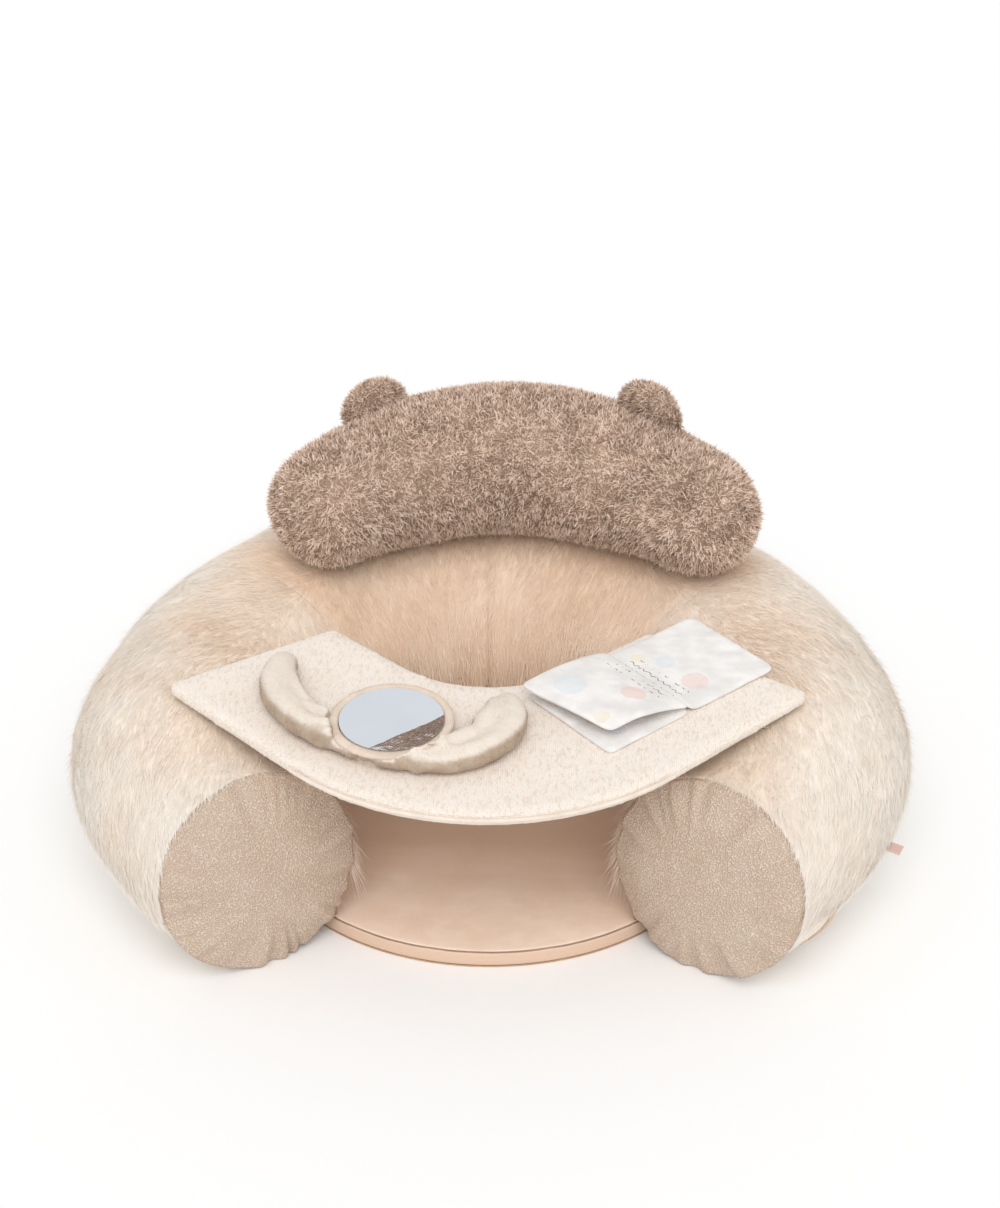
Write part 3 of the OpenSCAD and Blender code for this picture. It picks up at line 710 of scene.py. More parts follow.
def page_finish(name, settings, patches, seed):
    """Pale padded cloth with a plain print of soft round patches and rows of strokes. A patch is
    its place along and across the page, its radius and its shade."""
    finish = Finish(name, roughness=0.75)
    local = finish.mapped(turn=BOOK.to_euler(), move=BOOK.translation, kind="TEXTURE")
    x, y, _ = finish.axes(local)
    fine = finish.noise(0.0008, 2)
    shade = finish.blend(finish.noise(0.02, 2).between(0.3, 0.7), settings.page_deep, settings.page)
    wash = finish.noise(0.004, 3, 0.6)
    for along, across, radius, tint in patches:
        dx, dy = x - along, y - across
        away = (dx * dx + dy * dy) ** 0.5 + (wash - 0.5) * 0.003
        shade = finish.blend(away.between(radius * 1.06, radius * 0.94) * 0.55, shade, tint)
    shade = finish.blend(strokes(finish, x, y, seed) * 0.9, shade, "6C6A70")
    return finish.done(shade, (fine, 0.0003, 0.4), (finish.noise(0.009, 3, 0.6), 0.002, 0.45))


def plain_finish(name, shade, deep, size=0.01, roughness=0.6, metal=0.0, depth=0.0005):
    """A plain even finish with a little variation, for the parts inside."""
    finish = Finish(name, roughness=roughness, metal=metal)
    patch = finish.noise(size, 3, 0.6)
    return finish.done(finish.blend(patch, deep, shade), (finish.noise(size / 4, 2), depth, 0.4))


# ---- Settings ----


class FurSettings(bpy.types.PropertyGroup):
    hair: length("Hair length", "Length of the fur's hairs", 0.012, 0.005, 0.02)
    width: length("Hair width", "Width of a hair or small lock at its root", 0.0006, 0.0003, 0.002)
    lift: number(
        "Hair lift", "Angle at which hairs stand off the skin", math.radians(8), 0.1, 1.5,
        subtype="ANGLE",
    )
    stray: number("Stray hairs", "Share of the hairs that stand off more", 0.2, 0, 0.5)
    density: number("Hairs per square centimetre", "How thick the pile is", 38, 10, 100)
    outside: colour("Outside", "Fur on the outside of the ring", "FFFAF3")
    inside: colour("Inside", "Fur round the well", "FBE8D4")
    patches: colour("Patches", "Faint warm patches in the fur", "EFD0B2")
    # Painted shade: darkens the hairs' roots and the backing between them.
    painted_root_shade: colour("Roots", "Shade that darkens the roots", "FAF6F1")
    tips: colour("Tips", "Palest tips of the hairs", "FFFBF4")


class HeadrestSettings(bpy.types.PropertyGroup):
    locks: IntProperty(
        name="Locks", description="Locks of pile on the pillow", default=84000, min=1000, max=90000
    )
    pile: length("Pile", "Length of a lock", 0.0047, 0.002, 0.008)
    width: length("Lock width", "Width of a lock at its root", 0.0015, 0.0004, 0.003)
    # Painted shade: the colour of the skin between the locks and of the locks' roots.
    gaps: colour("Gaps", "Shade between the locks", "634E40")
    dark: colour("Dark locks", "Darkest of the three shades of pile", "C2A792")
    middle: colour("Middle locks", "Middle of the three shades of pile", "F3DBC8")
    light: colour("Light locks", "Lightest of the three shades of pile", "FFF6EC")


class ClothSettings(bpy.types.PropertyGroup):
    panel: colour("Panels", "Smooth panels below the fur", "EFE7DA")
    tan: colour("Tan cloth", "Floor mat", "FBE8D6")
    tan_deep: colour("Tan cloth, deep", "Floor mat's darker threads", "F0D2BC")
    foot_light: colour("Front ends, light", "Paler boucle", "FCECDD")
    foot_dark: colour("Front ends, dark", "Darker boucle", "F5E3D3")
    tray: colour("Tray", "Oatmeal knit", "F3E6DA")
    tray_light: colour("Tray, light", "Palest stitches of the knit", "F7EFE7")
    moon: colour("Crescent", "Velour of the crescent toy", "E8DDD1")
    page: colour("Pages", "Cloth of the book's pages", "F1EEEB")
    page_deep: colour("Pages, shade", "Shaded cloth of the pages", "E4E0DD")


class StudioSettings(bpy.types.PropertyGroup):
    world: number("Room light", "Even light from all round", 0.70, 0, 3)
    key: number("Main light", "Soft light from above, in front", 1.5, 0, 10)
    floor: colour("Floor", "Plain floor", "FBFBFB")


# ---- Fur cover ----


def tube_cloth(name, angles, columns, rows, s_range, face, thickness):
    """A cloth laid on the tube between two angles round the ring, with its back turned inwards."""
    first, last = angles

    def place(u, v):
        a = mixed(first, last, u)
        low, high = s_range(a)
        s = mixed(low, high, v)
        return Tube.point(a, s, face(a, s))

    cloth = grid(name, columns, rows, place)
    thicken(cloth, thickness)
    return cloth


# The angles round the ring between which each piece of fur lies
RING_START, RING_END = -Tube.sweep, 180 + Tube.sweep
FUR_PIECES = {"right": (RING_START, 30), "back": (30, 150), "left": (150, RING_END)}
FUR_NODES = {"right": "fur_arm_right", "back": "fur_back", "left": "fur_arm_left"}
# The angles round the tube at which the fur ends, outside and in the well
HEM_OUT, HEM_IN = -12, 197
# Height of the fur's skin above the smooth panels
PILE_FOOT = 0.0022


def fur_relief(a, s):
    """Lumps of the padded cover, and the gathers where it turns down into the well at the back."""
    place = Tube.point(a, s, 0)
    back = smooth((s - 95) / 50) * smooth(1 - np.abs(a - 92) / 42)
    gathers = (np.abs(lumps_at(4, a / 7, 0, s / 160)) - 0.4) * 0.008
    soft = lumps(place, 0.07, 1) * 0.002 + lumps(place, 0.03, 2) * 0.0009
    return PILE_FOOT + soft + back * gathers


def under_tray(points):
    """Which points lie under the tray's wings."""
    x, y = np.abs(points[:, 0]), points[:, 1]
    back_edge = 0.004 - (x - 0.129) * 0.6587
    front_edge = np.maximum(-0.19, -0.181 + (x - 0.146) * 0.936)
    wing_end = 0.257
    return (y < back_edge) & (y > front_edge) & (x < wing_end)


def pressed(points):
    """Keeps what lies under the tray's wings below them."""
    gap = 0.001
    top = TRAY.translation.z + points[:, 1] * math.tan(TRAY_SLOPE) - gap
    held = np.where(under_tray(points), np.minimum(points[:, 2], top), points[:, 2])
    return np.column_stack([points[:, :2], held])


def turned(way, side, angles):
    """Each direction, turned towards its side by its angle."""
    return way * np.cos(angles)[:, None] + side * np.sin(angles)[:, None]


def pile_flow(a, s, along, around):
    """Which way the pile lies: off the top on both sides, and along the arms to the front ends."""
    arm = smooth((np.abs(a - 90) - 25) / 50)
    top = mixed(88, 104, arm)
    off_top = smooth((s - top) / 38) * 2 - 1
    into_well = smooth((s - 110) / 40)
    flow_a = -np.tanh((90 - a) / 25) * mixed(0.15, 0.9, arm) * mixed(1, 0.4, into_well)
    flow_s = off_top * mixed(1, 0.55, arm * smooth((150 - s) / 60)) + 0.02
    return unit(along * flow_a[:, None] + around * flow_s[:, None])


def nap(name, angles, s_range, settings, seed):
    """Hairs that lie along the pile of one fur piece. Each is a thin closed spike."""
    rng = np.random.default_rng(seed)
    first, last = angles
    low, high = s_range
    outer_r, tube_r = Tube.ring + 0.11, 0.105
    arc = math.radians(last - first) * outer_r
    turn = math.radians(high - low) * tube_r
    square_cm = arc * turn * 1e4
    tries = int(square_cm * settings.density)
    a = rng.uniform(first, last, tries)
    s = rng.uniform(low, high, tries)
    room = (Tube.ring + Tube.radius(a) * np.cos(np.radians(s))) / (Tube.ring + Tube.back_r)
    keep = rng.random(tries) < room * Tube.radius(a) / Tube.back_r
    a, s = a[keep], s[keep]
    count = len(a)
    root = Tube.point(a, s, fur_relief(a, s) + 0.0003)
    along, around, out = Tube.sides(a, s, 0)
    sway = lumps(root, 0.06, seed) * 0.3 + lumps(root, 0.012, seed + 1) * 0.16
    sway = sway + rng.normal(0, 0.15, count)
    flat = pile_flow(a, s, along, around)
    flat = turned(flat, np.cross(out, flat), sway)
    rise = settings.lift * (1 + lumps(root, 0.02, 7) * 0.12 + rng.normal(0, 0.25, count))
    rise = np.where(rng.random(count) < settings.stray, rise * rng.uniform(1.5, 4.5, count), rise)
    way = turned(flat, out, rise)
    size = settings.hair * (1 + lumps(root, 0.03, 9) * 0.12 + rng.normal(0, 0.14, count))
    near_end = smooth(np.abs(a - 90) - 131)
    size = size * (1 + near_end * mixed(0.15, 0.9, smooth((s - 110) / 40)))
    size = size * (1 + smooth((s - HEM_IN + 10) / 10) * 0.5)
    clump = np.stack([lumps(root, 0.0045, k) for k in (11, 12, 13)], -1) * 0.0008
    tip = pressed(root + way * size[:, None] + clump)
    side = unit(np.cross(way, out)) * (settings.width / 2)
    over = out * (settings.width * 0.12)
    lock = lumps(root, 0.006, 21) * 0.5 + 0.5
    tone = np.clip(lock * 0.15 + rng.random(count) * 0.85, 0, 1)

    def on_map(step):
        return np.stack([np.sum(step * along, -1) / arc, np.sum(step * around, -1) / turn], -1)

    foot = np.stack([(a - first) / (last - first), (s - low) / (high - low)], -1)
    wide, reach = on_map(side), on_map(way) * size[:, None]
    chart = np.stack([foot + wide, foot - wide, foot + wide * 0.2, foot + reach], axis=1)
    numbers = {"tone": np.repeat(tone, 4), "tip": np.tile([0.0, 0.0, 0.0, 1.0], count)}
    return spikes(name, root, side, over, tip, numbers, chart)


class FLOORSEAT_OT_fur_cover(bpy.types.Operator):
    """Lays the fur cover on the ring: its skin, then the pile"""

    bl_idname = "floorseat.fur_cover"
    bl_label = "Fur cover"

    def execute(self, context):
        settings = context.scene.floorseat_fur
        skin_finish = fur_skin_finish(settings)
        pile_finish = fur_finish(settings)
        for side, angles in FUR_PIECES.items():
            skin = tube_cloth(
                f"fur_skin_{side}", angles, columns=int((angles[1] - angles[0]) * 1.4), rows=110,
                s_range=lambda a: (HEM_OUT, HEM_IN), face=fur_relief, thickness=0.004,
            )
            set_coords(skin, pressed(coords(skin)))
            placed(skin, "seat", skin_finish, [FUR_NODES[side]])
        seed = 1
        for side, (first, last) in FUR_PIECES.items():
            parts = 3 if side == "back" else 2
            for part in range(parts):
                step = (last - first) / parts
                span = (first + part * step, first + (part + 1) * step)
                pile = nap(f"fur_pile_{side}_{part + 1}", span, (HEM_OUT, HEM_IN), settings, seed)
                placed(pile, "seat", pile_finish)
                seed += 1
        return {"FINISHED"}


# ---- Smooth cloth of the seat ----


def panel_range(a):
    """A smooth panel runs from the mat up to the fur's hem, and ends lower along the zip's slot."""
    gap, slot, half_slot, slot_end = 1, 10.15, 30.3, 1.2
    in_slot = np.clip((half_slot - np.abs(a - 90)) / slot_end, 0, 1)
    return Tube.mat_line(a), HEM_OUT - mixed(gap, slot, in_slot)


def panel_relief(a, s):
    """Soft lumps of a smooth panel, and fine creases that run up it."""
    place = Tube.point(a, s, 0)
    creases = np.abs(lumps_at(6, a / 5, s / 60, 0)) * 0.0016
    return lumps(place, 0.05, 5) * 0.0012 - creases


def cut_valve_hole(panel):
    """Cuts the hole for the valve's flange in the back panel."""
    low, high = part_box("valve_stem")
    valve_axis = Vector((-0.117914, 0.668726, -0.734099))
    bpy.ops.object.select_all(action="DESELECT")
    bpy.ops.mesh.primitive_cylinder_add(
        vertices=48, radius=0.0133, depth=0.06, location=(low + high) / 2,
        rotation=valve_axis.to_track_quat("Z", "Y").to_euler(),
    )
    cutter = bpy.context.object
    apply_modifier(panel, "Valve hole", "BOOLEAN", object=cutter, operation="DIFFERENCE")
    bpy.data.objects.remove(cutter)


def wall_place(u, v):
    """The wall hangs on the tube's inside, and its last part drops straight to the mat."""
    top, hanging = 191, 0.85
    a = mixed(RING_START, RING_END, u)
    low = 360 + Tube.mat_line(a) - 6
    s = mixed(top, low, np.clip(v / hanging, 0, 1))
    place = Tube.point(a, s, 0)
    out = unit(place * [1, 1, 0])
    drop = smooth((v - hanging) / (1 - hanging))
    place[:, 2] = mixed(place[:, 2], MAT_TOP + 0.0008, drop)
    sag = np.sin(v * 15 + lumps_at(3, a / 22, 0, 0) * 2.5)
    depth = smooth(v * 4) * smooth((1 - v) * 4)
    fold = sag * 0.0018 + lumps_at(8, a / 9, v * 5, 0) * 0.0016
    return place + out * (depth * fold)[:, None]


class FLOORSEAT_OT_lower_cloth(bpy.types.Operator):
    """Makes the smooth panels, the wall of the well, the bound seams and the loop tag"""

    bl_idname = "floorseat.lower_cloth"
    bl_label = "Panels and well wall"

    def execute(self, context):
        settings = context.scene.floorseat_cloth
        panel_finish = velour_finish("Cream velour", settings.panel, "DFD3C3")
        tan_finish = woven_finish("Tan cloth", "E4C6AC", "CBA98D")
        wall_finish = woven_finish("Tan wall cloth", "C09C80", "AE8A6F")
        for side, angles in FUR_PIECES.items():
            panel = tube_cloth(
                f"velour_{side}", angles, columns=int((angles[1] - angles[0]) * 1.4), rows=48,
                s_range=panel_range, face=panel_relief, thickness=0.003,
            )
            if side == "back":
                cut_valve_hole(panel)
            placed(panel, "seat", panel_finish, [f"velour_panel_{side}"])
        wall = grid("wall_of_well", columns=300, rows=48, place=wall_place)
        thicken(wall, 0.002)
        placed(wall, "seat", wall_finish, ["well_wall"])
        half_seam = 0.58
        for side, middle in (("right", -35.92), ("left", 215.92)):
            bead = tube_cloth(
                f"bound_seam_{side}", (middle - half_seam, middle + half_seam), columns=6, rows=60,
                s_range=lambda a: (-75, -13.5), thickness=0.0016,
                face=lambda a, s, m=middle: panel_relief(a, s) + 0.0018 - np.abs(a - m) * 0.0008,
            )
            placed(bead, "seat", tan_finish, [f"binding_{side}"])
        dress(woven_finish("Tag ribbon", "E3C4BA", "CFA9A0"), "loop_tag")
        return {"FINISHED"}


# ---- Front ends ----


def foot_place(side):
    """Where a front end's cloth lies: a dome, drawn in at its edge, that rolls under the fur."""
    dome_share, dome_h, cloth_out, floor_gap = 0.86, 0.017, 0.0033, 0.0004

    def place(u, v):
        turn = np.radians(360 * u)
        ring = np.stack([np.cos(turn), np.sin(turn), 0 * turn], -1)
        share = np.clip(v / dome_share, 0, 1)
        roll = np.clip((v - dome_share) / 0.14, 0, 1)
        out = cloth_out + dome_h * (1 - share**2.4) - 0.008 * smooth(roll)
        pull = smooth((share - 0.45) / 0.5)
        puckers = np.abs(lumps(ring * 8 + side, 1, 3)) - 0.3
        broad = lumps(ring * 2.3 + side * 3, 1, 8)
        out = out + pull * (puckers * 0.0066 + 0.0008 + broad * 0.0015) * (1 - roll)
        r = (Tube.foot_r + 0.0016) * share * (1 - 0.03 * smooth(roll))
        r = r + np.sin(roll * math.pi) * 0.0006
        a = np.full_like(u, RING_START if side > 0 else RING_END)
        spot = Tube.at(a, r * ring[:, 0], Tube.foot_flat * r * ring[:, 1], out)
        spot[:, 2] = np.maximum(spot[:, 2], floor_gap)
        return spot

    return place


class FLOORSEAT_OT_foot_ends(bpy.types.Operator):
    """Makes the two domed front ends"""

    bl_idname = "floorseat.foot_ends"
    bl_label = "Front ends"

    def execute(self, context):
        finish = boucle_finish(context.scene.floorseat_cloth)
        for side, name in ((1, "right"), (-1, "left")):
            dome = grid(f"domed_end_{name}", columns=150, rows=44, place=foot_place(side))
            edit(dome, close_seam)
            face_towards(dome, (side * 0.3, -1, 0))
            thicken(dome, 0.0018)
            placed(dome, "seat", finish, [f"foot_end_{name}"])
        wadding = plain_finish("Wadding", "F4F2EE", "E6E3DC", size=0.012, roughness=0.95, depth=0.002)
        dress(wadding, "foot_wadding_right", "foot_wadding_left", "headrest_filling")
        return {"FINISHED"}


# ---- Floor mat ----


# The mat's outline: share of the way from its middle, share of its radius, and height
MAT_LINE = np.array([
    (0, 0.0, 0.0146), (0.3, 0.45, 0.0147), (0.5, 0.75, 0.0147), (0.62, 0.93, 0.0147),
    (0.68, 0.985, 0.0145), (0.71, 0.993, 0.0138), (0.74, 0.9895, 0.0128), (0.77, 0.998, 0.0128),
    (0.82, 1.004, 0.0112), (0.88, 1.006, 0.0066), (0.94, 1.005, 0.0035), (0.97, 1.002, 0.0022),
    (1, 0.99, 0.0014),
])


def mat_place(u, v):
    """The padded mat, turned round its middle: top, seam and side band."""
    turn = 2 * math.pi * u
    r, z = (np.interp(v, MAT_LINE[:, 0], MAT_LINE[:, k]) for k in (1, 2))
    r = r * MAT_R
    spot = np.stack([r * np.cos(turn), r * np.sin(turn), z], -1)
    drawn = spot * [0.25, 1, 1]
    folds = lumps(drawn, 0.05, 2) * 0.0018 * smooth((spot[:, 1] + 0.13) / 0.08)
    spot[:, 2] += (folds + lumps(spot, 0.02, 5) * 0.0003) * smooth((0.7 - v) * 8)
    return spot


class FLOORSEAT_OT_floor_mat(bpy.types.Operator):
    """Makes the padded floor mat"""

    bl_idname = "floorseat.floor_mat"
    bl_label = "Floor mat"

    def execute(self, context):
        settings = context.scene.floorseat_cloth
        tan_finish = mat_finish(settings)
        pad = grid("padded_mat", columns=200, rows=80, place=mat_place)
        edit(pad, close_seam)
        face_towards(pad, (0, 0, 1))
        thicken(pad, 0.0008)
        placed(pad, "seat", tan_finish, ["mat_top", "mat_band"])
        dress(woven_finish("Underside cloth", "CBB096", "B3957A", thread=0.0012), "underside")
        return {"FINISHED"}


# ---- Headrest ----

# How pale the cloth between the locks is, from 0 to 1: low, so that it takes the gaps' colour as
# painted shade
PAINTED_SKIN_SHADE = 0.1
# Locks of pile on an ear
EAR_LOCKS = 4600


def spots_on(obj, count, rng):
    """Even random places on a mesh, with the normal at each."""
    mesh = obj.data
    mesh.calc_loop_triangles()
    corners = np.empty(len(mesh.loop_triangles) * 3, dtype=np.int32)
    mesh.loop_triangles.foreach_get("vertices", corners)
    corners = corners.reshape(-1, 3)
    places, outs = coords(obj), normals(obj)
    p, q, r = (places[corners[:, k]] for k in range(3))
    area = np.linalg.norm(np.cross(q - p, r - p), axis=1)
    face = rng.choice(len(corners), count, p=area / area.sum())
    u, v = rng.random(count), rng.random(count)
    over = u + v > 1
    u[over], v[over] = 1 - u[over], 1 - v[over]
    shares = np.stack([1 - u - v, u, v], -1)
    place = np.einsum("ck,ckx->cx", shares, places[corners[face]])
    out = np.einsum("ck,ckx->cx", shares, outs[corners[face]])
    return place, unit(out)


def locks(name, places, outs, size, lean, tones, chart_of, rng):
    """Small locks of pile, each a thin closed spike that leans its own way. size is a lock's length
    and width, and tones say how pale each one is."""
    count = len(places)
    tall, wide = size
    over_to = np.stack([lumps(places, tall * 0.8, k) for k in (31, 32, 33)], -1) * 1.1
    over_to += rng.normal(0, 0.75, (count, 3))
    over_to -= outs * np.sum(over_to * outs, axis=1, keepdims=True)
    way = unit(outs + over_to * lean)
    root = places - outs * 0.0004
    reach = rng.uniform(0.65, 1.25, count) + (rng.random(count) < 0.12) * 0.5
    tip = root + way * (tall * reach)[:, None]
    side = unit(np.cross(way, outs + rng.normal(0, 0.1, (count, 3)))) * wide / 2
    over = unit(np.cross(side, way)) * wide * 0.25
    corners = np.array([[0, 0], [1, 0], [0, 1], [1, 1]]) * 0.004 - 0.002
    # Painted shade: each lock is darker at its root, deep in the pile, and a little paler at its tip.
    tone = np.clip(tones[:, None] + np.array([-0.45, -0.45, -0.45, 0.12]), 0, 1)
    numbers = {"tone": tone.ravel()}
    return spikes(name, root, side, over, tip, numbers, chart_of(places)[:, None] + corners)


def pillow_chart(places):
    """Map places on the pillow, by the angle along it and round it."""
    a = np.degrees(np.arctan2(places[:, 1], places[:, 0]))
    across = np.hypot(places[:, 0], places[:, 1]) - HEAD_RING
    turn = np.arctan2(places[:, 2] - HEAD_Z, across)
    return np.stack([0.03 + 0.94 * (a - 10) / 160, 0.03 + 0.94 * (turn / (2 * math.pi) + 0.5)], -1)


def ear_chart(places):
    """Map places on an ear, its front on the left and its back on the right."""
    gap = places - places.mean(axis=0)
    turn = np.arctan2(gap[:, 2], gap[:, 0])
    out = np.hypot(gap[:, 0], gap[:, 2]) / 0.06
    back = (gap[:, 1] > 0) * 0.5
    return np.stack([0.25 + back + np.cos(turn) * out * 0.35, 0.5 + np.sin(turn) * out * 0.7], -1)


class FLOORSEAT_OT_headrest(bpy.types.Operator):
    """Makes the curly headrest and its two ears"""

    bl_idname = "floorseat.headrest"
    bl_label = "Headrest"

    def execute(self, context):
        settings = context.scene.floorseat_headrest
        finish = sherpa_finish(settings)
        size = (settings.pile, settings.width)
        rng = np.random.default_rng(40)
        pillow = softened("headrest_filling", "pillow_skin", voxel=0.0045, swell=0.0032)
        puffed(pillow, pressure=4, frames=12, cap=0.006)
        place = coords(pillow)
        place += normals(pillow) * (0.0016 + lumps(place, 0.05, 3) * 0.0018)[:, None]
        set_coords(pillow, place)
        round_off(pillow)
        mark(pillow.data, "tone", np.full(len(pillow.data.vertices), PAINTED_SKIN_SHADE))
        placed(pillow, "seat", finish, ["headrest_cover"])
        places, outs = spots_on(pillow, settings.locks, rng)
        tones = 0.66 + lumps(places, 0.003, 9) * 0.34 + rng.normal(0, 0.16, len(places))
        front = outs[:, 1] < 0
        for name, chosen in (("front", front), ("back", ~front)):
            pile = locks(
                f"pillow_pile_{name}", places[chosen], outs[chosen], size, lean=0.9,
                tones=tones[chosen], chart_of=pillow_chart, rng=rng,
            )
            placed(pile, "seat", finish)
        for side in ("right", "left"):
            ear = softened(f"ear_{side}", f"ear_skin_{side}", voxel=0.003, swell=-0.0005, turns=4)
            mark(ear.data, "tone", np.full(len(ear.data.vertices), PAINTED_SKIN_SHADE))
            placed(ear, "seat", finish, [f"ear_{side}"])
            places, outs = spots_on(ear, EAR_LOCKS, rng)
            tones = 0.56 + rng.normal(0, 0.2, len(places))
            pile = locks(
                f"ear_pile_{side}", places, outs, size, lean=0.9, tones=tones, chart_of=ear_chart,
                rng=rng,
            )
            placed(pile, "seat", finish)
        return {"FINISHED"}


# ---- Play tray ----


class FLOORSEAT_OT_play_tray(bpy.types.Operator):
    """Makes the padded tray in oatmeal knit"""

    bl_idname = "floorseat.play_tray"
    bl_label = "Play tray"

    def execute(self, context):
        settings = context.scene.floorseat_cloth
        knit = knit_finish(settings)
        pad = softened("tray_foam", "tray_pad", voxel=0.0036, swell=0.0016, turns=3)
        puffed(pad, pressure=1.5, frames=8, cap=0.0004)
        place = coords(pad)
        local = place @ np.array(TRAY.inverted().to_3x3()).T
        ripple = lumps(place, 0.05, 6) * 0.0009 + lumps(place, 0.018, 7) * 0.0004
        up = np.array(TRAY.to_3x3() @ Vector((0, 0, 1)))
        set_coords(pad, place + up * (ripple * (local[:, 2] > 0))[:, None])
        round_off(pad)
        apply_modifier(
            pad, "Over the foam", "SHRINKWRAP", target=NODES["tray_foam"], wrap_mode="OUTSIDE",
            offset=0.0008,
        )
        placed(pad, "tray", knit, ["tray_cover", "tray_underside"])
        dress(velour_finish("Tray piping", "F2E5D9", "DECCBB"), "tray_piping")
        foam = plain_finish("Foam", "F2EDDC", "E4DCC6", size=0.006, roughness=0.95)
        dress(foam, "tray_foam", "mat_foam")
        hooks = plain_finish(
            "Hook and loop", "E9DFCF", "CFC2AE", size=0.0016, roughness=0.95, depth=0.001
        )
        dress(hooks, "tray_hook_strips", "arm_loop_strips")
        return {"FINISHED"}


# ---- Mirror toy ----


# The crescent's middle line and half width, by its bearing from the mirror's middle
MOON_LINE = np.array([
    (-240, 0.1125, 0.011), (-225, 0.101, 0.027), (-210, 0.090, 0.032), (-195, 0.0727, 0.032),
    (-180, 0.062, 0.023), (-165, 0.052, 0.0138), (-150, 0.046, 0.007), (-105, 0.0441, 0.0053),
    (-90, 0.0477, 0.0079), (-75, 0.0516, 0.0125), (-60, 0.0572, 0.0175), (-45, 0.0626, 0.023),
    (-30, 0.0689, 0.026), (-15, 0.0773, 0.025), (0, 0.0833, 0.021), (15, 0.0878, 0.016),
])


def toy_chart(places):
    """Map places on the crescent, seen from above."""
    return 0.5 + (places - np.array(TOY.translation))[:, :2] / 0.24


def rim_place(u, v):
    """The gathered rim round the mirror, turned round its middle."""
    turn = 2 * math.pi * u
    ring = 2 * math.pi * v
    middle_r, up, half_w, half_h = 0.0442, 0.0138, 0.0039, 0.0027
    gather = np.abs(lumps_at(2, np.cos(turn) * 16, np.sin(turn) * 16, 0)) * 0.0006
    r = middle_r + half_w * np.cos(ring) - gather * (np.cos(ring) > 0)
    z = up + (half_h - gather) * np.sin(ring)
    return np.stack([r * np.cos(turn), r * np.sin(turn), z], -1)


def moved_by(place, matrix):
    """A place rule, moved as the matrix says."""
    turn = np.array(matrix.to_3x3())
    return lambda u, v: place(u, v) @ turn.T + np.array(matrix.translation)


def moon_relief(place):
    """How far the crescent's cloth stands out at each place: its lobes are hollow on top, with a
    ridge along the outside, folds towards the mirror and creases all over."""
    x, y, z = (place - np.array(TOY.translation)).T
    away, turn = np.hypot(x, y), np.arctan2(y, x)
    bearing = np.degrees(turn)
    bearing = np.where(bearing > 60, bearing - 360, bearing)
    middle, half = (np.interp(bearing, MOON_LINE[:, 0], MOON_LINE[:, k]) for k in (1, 2))
    across = np.clip((away - middle) / half, -1.3, 1.3)
    top = smooth((z - 0.006) / 0.012)
    lobe = smooth((half - 0.010) / 0.012)
    hollow = np.exp(-(((across + 0.1) / 0.45) ** 2)) * (0.0065 + lumps(place, 0.03, 2) * 0.003)
    ridge = np.exp(-(((across - 0.75) / 0.25) ** 2)) * 0.002
    creases = np.abs(lumps_at(8, turn * 1.3, across * 1.1, z * 40))
    folds = np.sin(turn * 15 + lumps(place, 0.02, 3) * 3) * np.exp(-(((away - 0.052) / 0.018) ** 2))
    lift = top * lobe * (ridge - hollow) + folds * 0.0013
    return lift + smooth(z / 0.005) * (0.0022 - creases * 0.0045 + lumps(place, 0.011, 5) * 0.0006)


def painted_light_by_facing(outs):
    """How pale the crescent's velour is: pale on top as painted light and deep on its sides as painted
    shade, by which way each place faces.
    """
    return smooth((outs[:, 2] - 0.1) / 0.8)


class FLOORSEAT_OT_mirror_toy(bpy.types.Operator):
    """Makes the soft crescent with its round mirror"""

    bl_idname = "floorseat.mirror_toy"
    bl_label = "Mirror toy"

    def execute(self, context):
        settings = context.scene.floorseat_cloth
        # The crescent's pale top and deep sides are painted light and shade.
        velour = velour_finish(
            "Crescent velour", settings.moon, "AC9680", grain=0.0009, with_painted_light=True
        )
        crescent = softened("moon", "crescent", voxel=0.0026, swell=0.0006, turns=6)
        puffed(crescent, pressure=3, frames=12, cap=0.003)
        place = coords(crescent)
        set_coords(crescent, place + normals(crescent) * moon_relief(place)[:, None])
        round_off(crescent)
        # Painted light and shade on the crescent's cloth, by which way it faces.
        mark(crescent.data, "tone", painted_light_by_facing(normals(crescent)))
        rng = np.random.default_rng(60)
        places, outs = spots_on(crescent, count=24000, rng=rng)
        # The pile's locks take the same painted light and shade.
        tones = painted_light_by_facing(outs) + rng.normal(0, 0.12, len(places))
        pile = locks(
            "crescent_pile", places, outs, size=(0.0016, 0.0005), lean=1.6, tones=tones + 0.1,
            chart_of=toy_chart, rng=rng,
        )
        placed(pile, "mirror_toy", velour)
        placed(crescent, "mirror_toy", velour, ["moon"])
        rim = grid("gathered_rim", columns=240, rows=20, place=moved_by(rim_place, TOY))
        edit(rim, close_seam, outside_out)
        rim_finish = velour_finish("Rim cloth", "EADACB", "CEB8A4")
        placed(rim, "mirror_toy", rim_finish, ["mirror_rim"])
        dress(mirror_finish(), "mirror_sheet")
        dress(velour_finish("Mirror backing", "E4D9CB", "CDBEAB"), "mirror_backing")
        return {"FINISHED"}


# ---- Cloth book ----


# Height of a flat page's middle above the tray, and length of the middle page
PAGE_REST, MIDDLE_LEN = 0.0024, 0.091


def back_height(along, across):
    """The back page lies flat, and rises to the spine."""
    return PAGE_REST + 0.0035 * np.exp(-along / 0.006)


def front_height(along, across):
    """The front page lies flat."""
    return PAGE_REST + 0 * along


